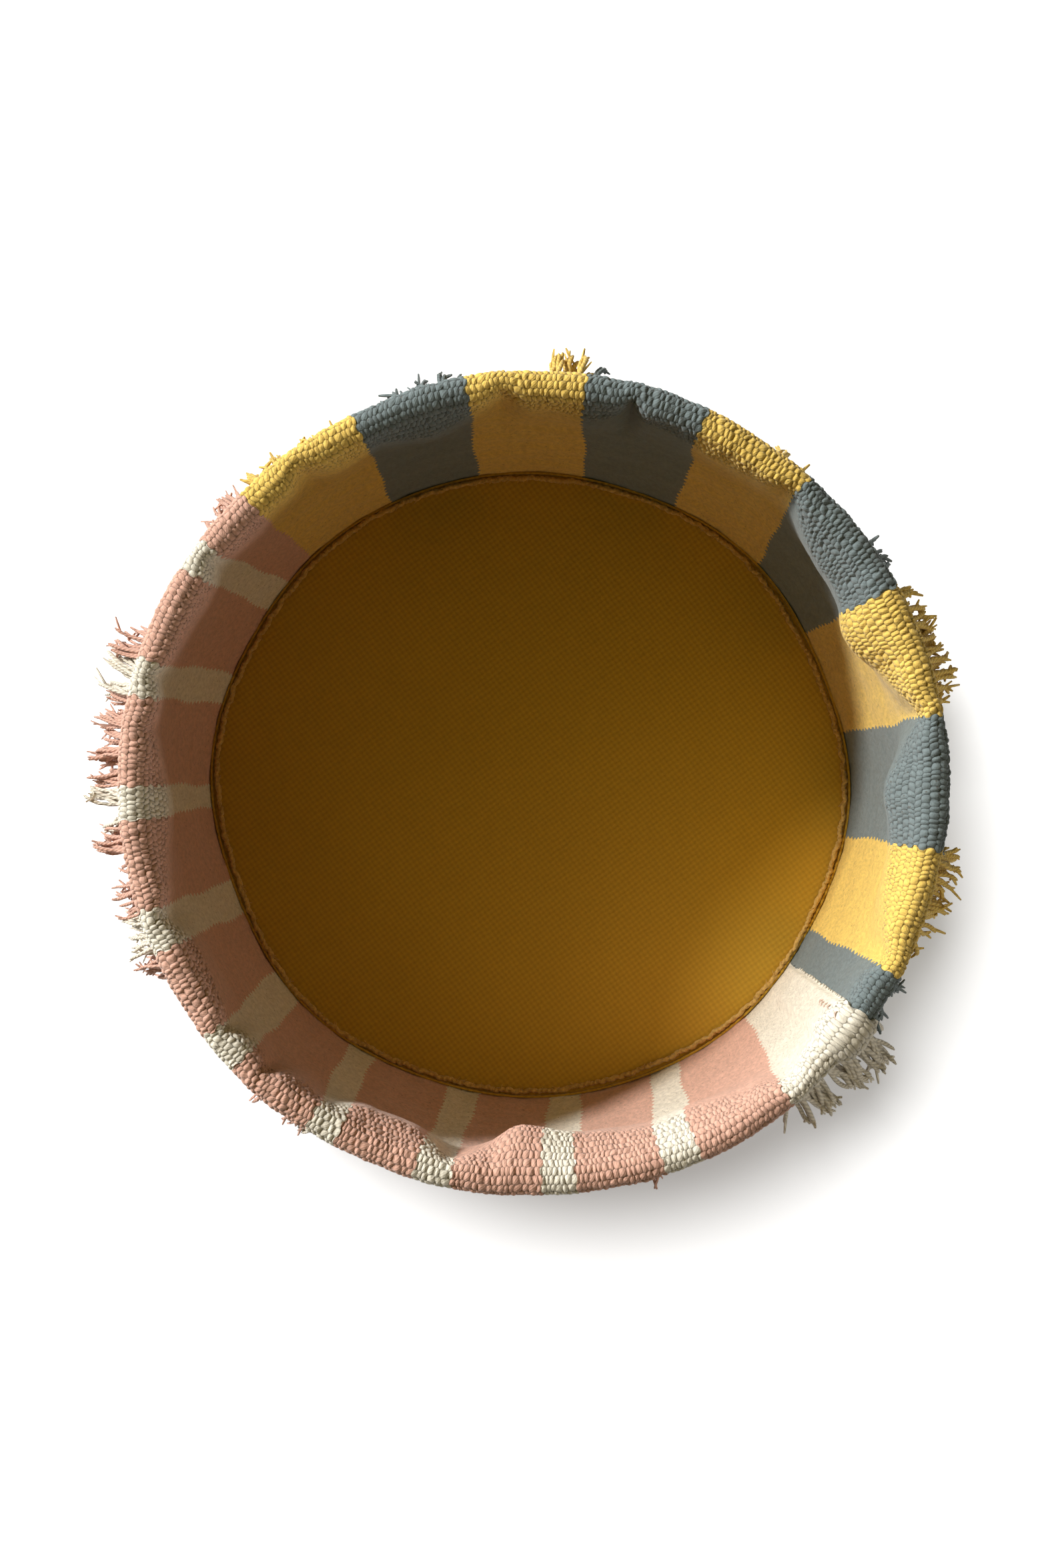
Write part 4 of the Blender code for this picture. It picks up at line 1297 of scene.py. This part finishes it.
# The lamps that light the basket: azimuth, elevation, strength, breadth in degrees, colour, and what
# each one reaches. The key is low and warm. The broad side lamp brings up the near side of the rim, and
# the warm top lamp the base and the shade. The returns are what a white floor throws back from the far
# side of the key: onto the loose ends, and lower and weaker onto the cloth
SUNS = {
    "key": (147, 28, 3.15, 7, (1.0, 0.965, 0.90), "pieces"),
    "side": (147, 10, 3.4, 40, (0.93, 0.98, 1.0), "pieces"),
    "top": (147, 75, 0.18, 60, (1.0, 0.76, 0.08), "pieces"),
    "return": (327, 30, 1.0, 60, (1.0, 0.97, 0.90), "fringes"),
    "low_return": (327, 3, 0.75, 10, (1.0, 0.97, 0.92), "cloths"),
}

# The soft lamp lights only the floor and gives the basket's short shadow
SHADOW_AZIMUTH = 130
SHADOW_ELEVATION = 73
SHADOW_SIZE = 0.75
SHADOW_STRENGTH = 64
LAMP_DISTANCE = 2.4

# The pale floor and the sky: half the floor's width; its tone and glow in the camera's view, and the
# tone by which it lights the basket; and the strength and colour of the sky's light on the basket
FLOOR_REACH = 12
FLOOR_TONE = 0.9
FLOOR_GLOW = 0.33
FLOOR_BOUNCE = 0.6
FILL = 0.05
FILL_COLOUR = (1, 0.82, 0.4, 1)


def towards(azimuth, elevation):
    """Direction from the basket to a lamp."""
    a, e = math.radians(azimuth), math.radians(elevation)
    return Vector((math.cos(a) * math.cos(e), math.sin(a) * math.cos(e), math.sin(e)))


def hang_lamp(lamp, direction, receivers, name):
    """Turns a lamp to the basket and lets it light only some pieces."""
    holder = bpy.data.objects.new(name, lamp)
    holder.location = direction * LAMP_DISTANCE
    holder.rotation_euler = direction.to_track_quat("Z", "Y").to_euler()
    bpy.context.scene.collection.objects.link(holder)
    lit = bpy.data.collections.new("lit_by_" + name)
    for piece in receivers:
        lit.objects.link(piece)
    holder.light_linking.receiver_collection = lit


def lamps(floor):
    """The suns on the basket or a part of it, and the broad soft light on the floor."""
    pieces = [piece for piece in bpy.context.scene.objects if piece.type == "MESH" and piece != floor]
    fringes = [piece for piece in pieces if piece.name.endswith("_fringe")]
    cloths = [piece for piece in pieces if piece not in fringes]
    reached = {"pieces": pieces, "fringes": fringes, "cloths": cloths}
    for name, (azimuth, elevation, strength, breadth, colour, part) in SUNS.items():
        sun = bpy.data.lights.new(name, "SUN")
        sun.energy = strength
        sun.angle = math.radians(breadth)
        sun.color = colour
        hang_lamp(sun, towards(azimuth, elevation), reached[part], name)
    soft = bpy.data.lights.new("soft", "AREA")
    soft.shape = "DISK"
    soft.size = SHADOW_SIZE
    soft.energy = SHADOW_STRENGTH
    hang_lamp(soft, towards(SHADOW_AZIMUTH, SHADOW_ELEVATION), [floor], "soft")


def white_for_camera(tree, surface, white):
    """Lets one shader light the basket, and shows a white one to the camera, in gloss and through glass."""
    path = add(tree, "LightPath")
    seen = path.outputs["Is Camera Ray"]
    for ray in ("Is Glossy Ray", "Is Transmission Ray"):
        seen = add(tree, "Math", (seen, path.outputs[ray]), operation="MAXIMUM")
    return add(tree, "MixShader", (seen, surface, white))


def studio_floor():
    """Pale floor, wide enough for every view."""
    mesh = bmesh.new()
    bmesh.ops.create_grid(mesh, x_segments=1, y_segments=1, size=FLOOR_REACH)
    data = bpy.data.meshes.new("floor")
    mesh.to_mesh(data)
    mesh.free()
    floor = bpy.data.objects.new("floor", data)
    bpy.context.scene.collection.objects.link(floor)
    material = bpy.data.materials.new("pale_floor")
    material.use_nodes = True
    tree = material.node_tree
    tree.nodes.clear()
    plain = add(tree, "BsdfDiffuse", ((FLOOR_TONE, FLOOR_TONE, FLOOR_TONE, 1),))
    glow = add(tree, "Emission", ((1, 1, 1, 1), FLOOR_GLOW))
    shown = add(tree, "AddShader", (plain, glow))
    bounce = add(tree, "BsdfDiffuse", ((FLOOR_BOUNCE, FLOOR_BOUNCE, FLOOR_BOUNCE, 1),))
    add(tree, "OutputMaterial", (white_for_camera(tree, bounce, shown),))
    data.materials.append(material)
    return floor


def sky():
    """Even soft light all round, white where the camera sees it."""
    world = bpy.data.worlds.new("studio")
    bpy.context.scene.world = world
    world.use_nodes = True
    tree = world.node_tree
    tree.nodes.clear()
    fill = add(tree, "Background", (FILL_COLOUR, FILL))
    white = add(tree, "Background", ((1, 1, 1, 1), 1))
    add(tree, "OutputWorld", (white_for_camera(tree, fill, white),))


camera()
lamps(studio_floor())
sky()
bpy.context.scene.view_settings.view_transform = "Standard"
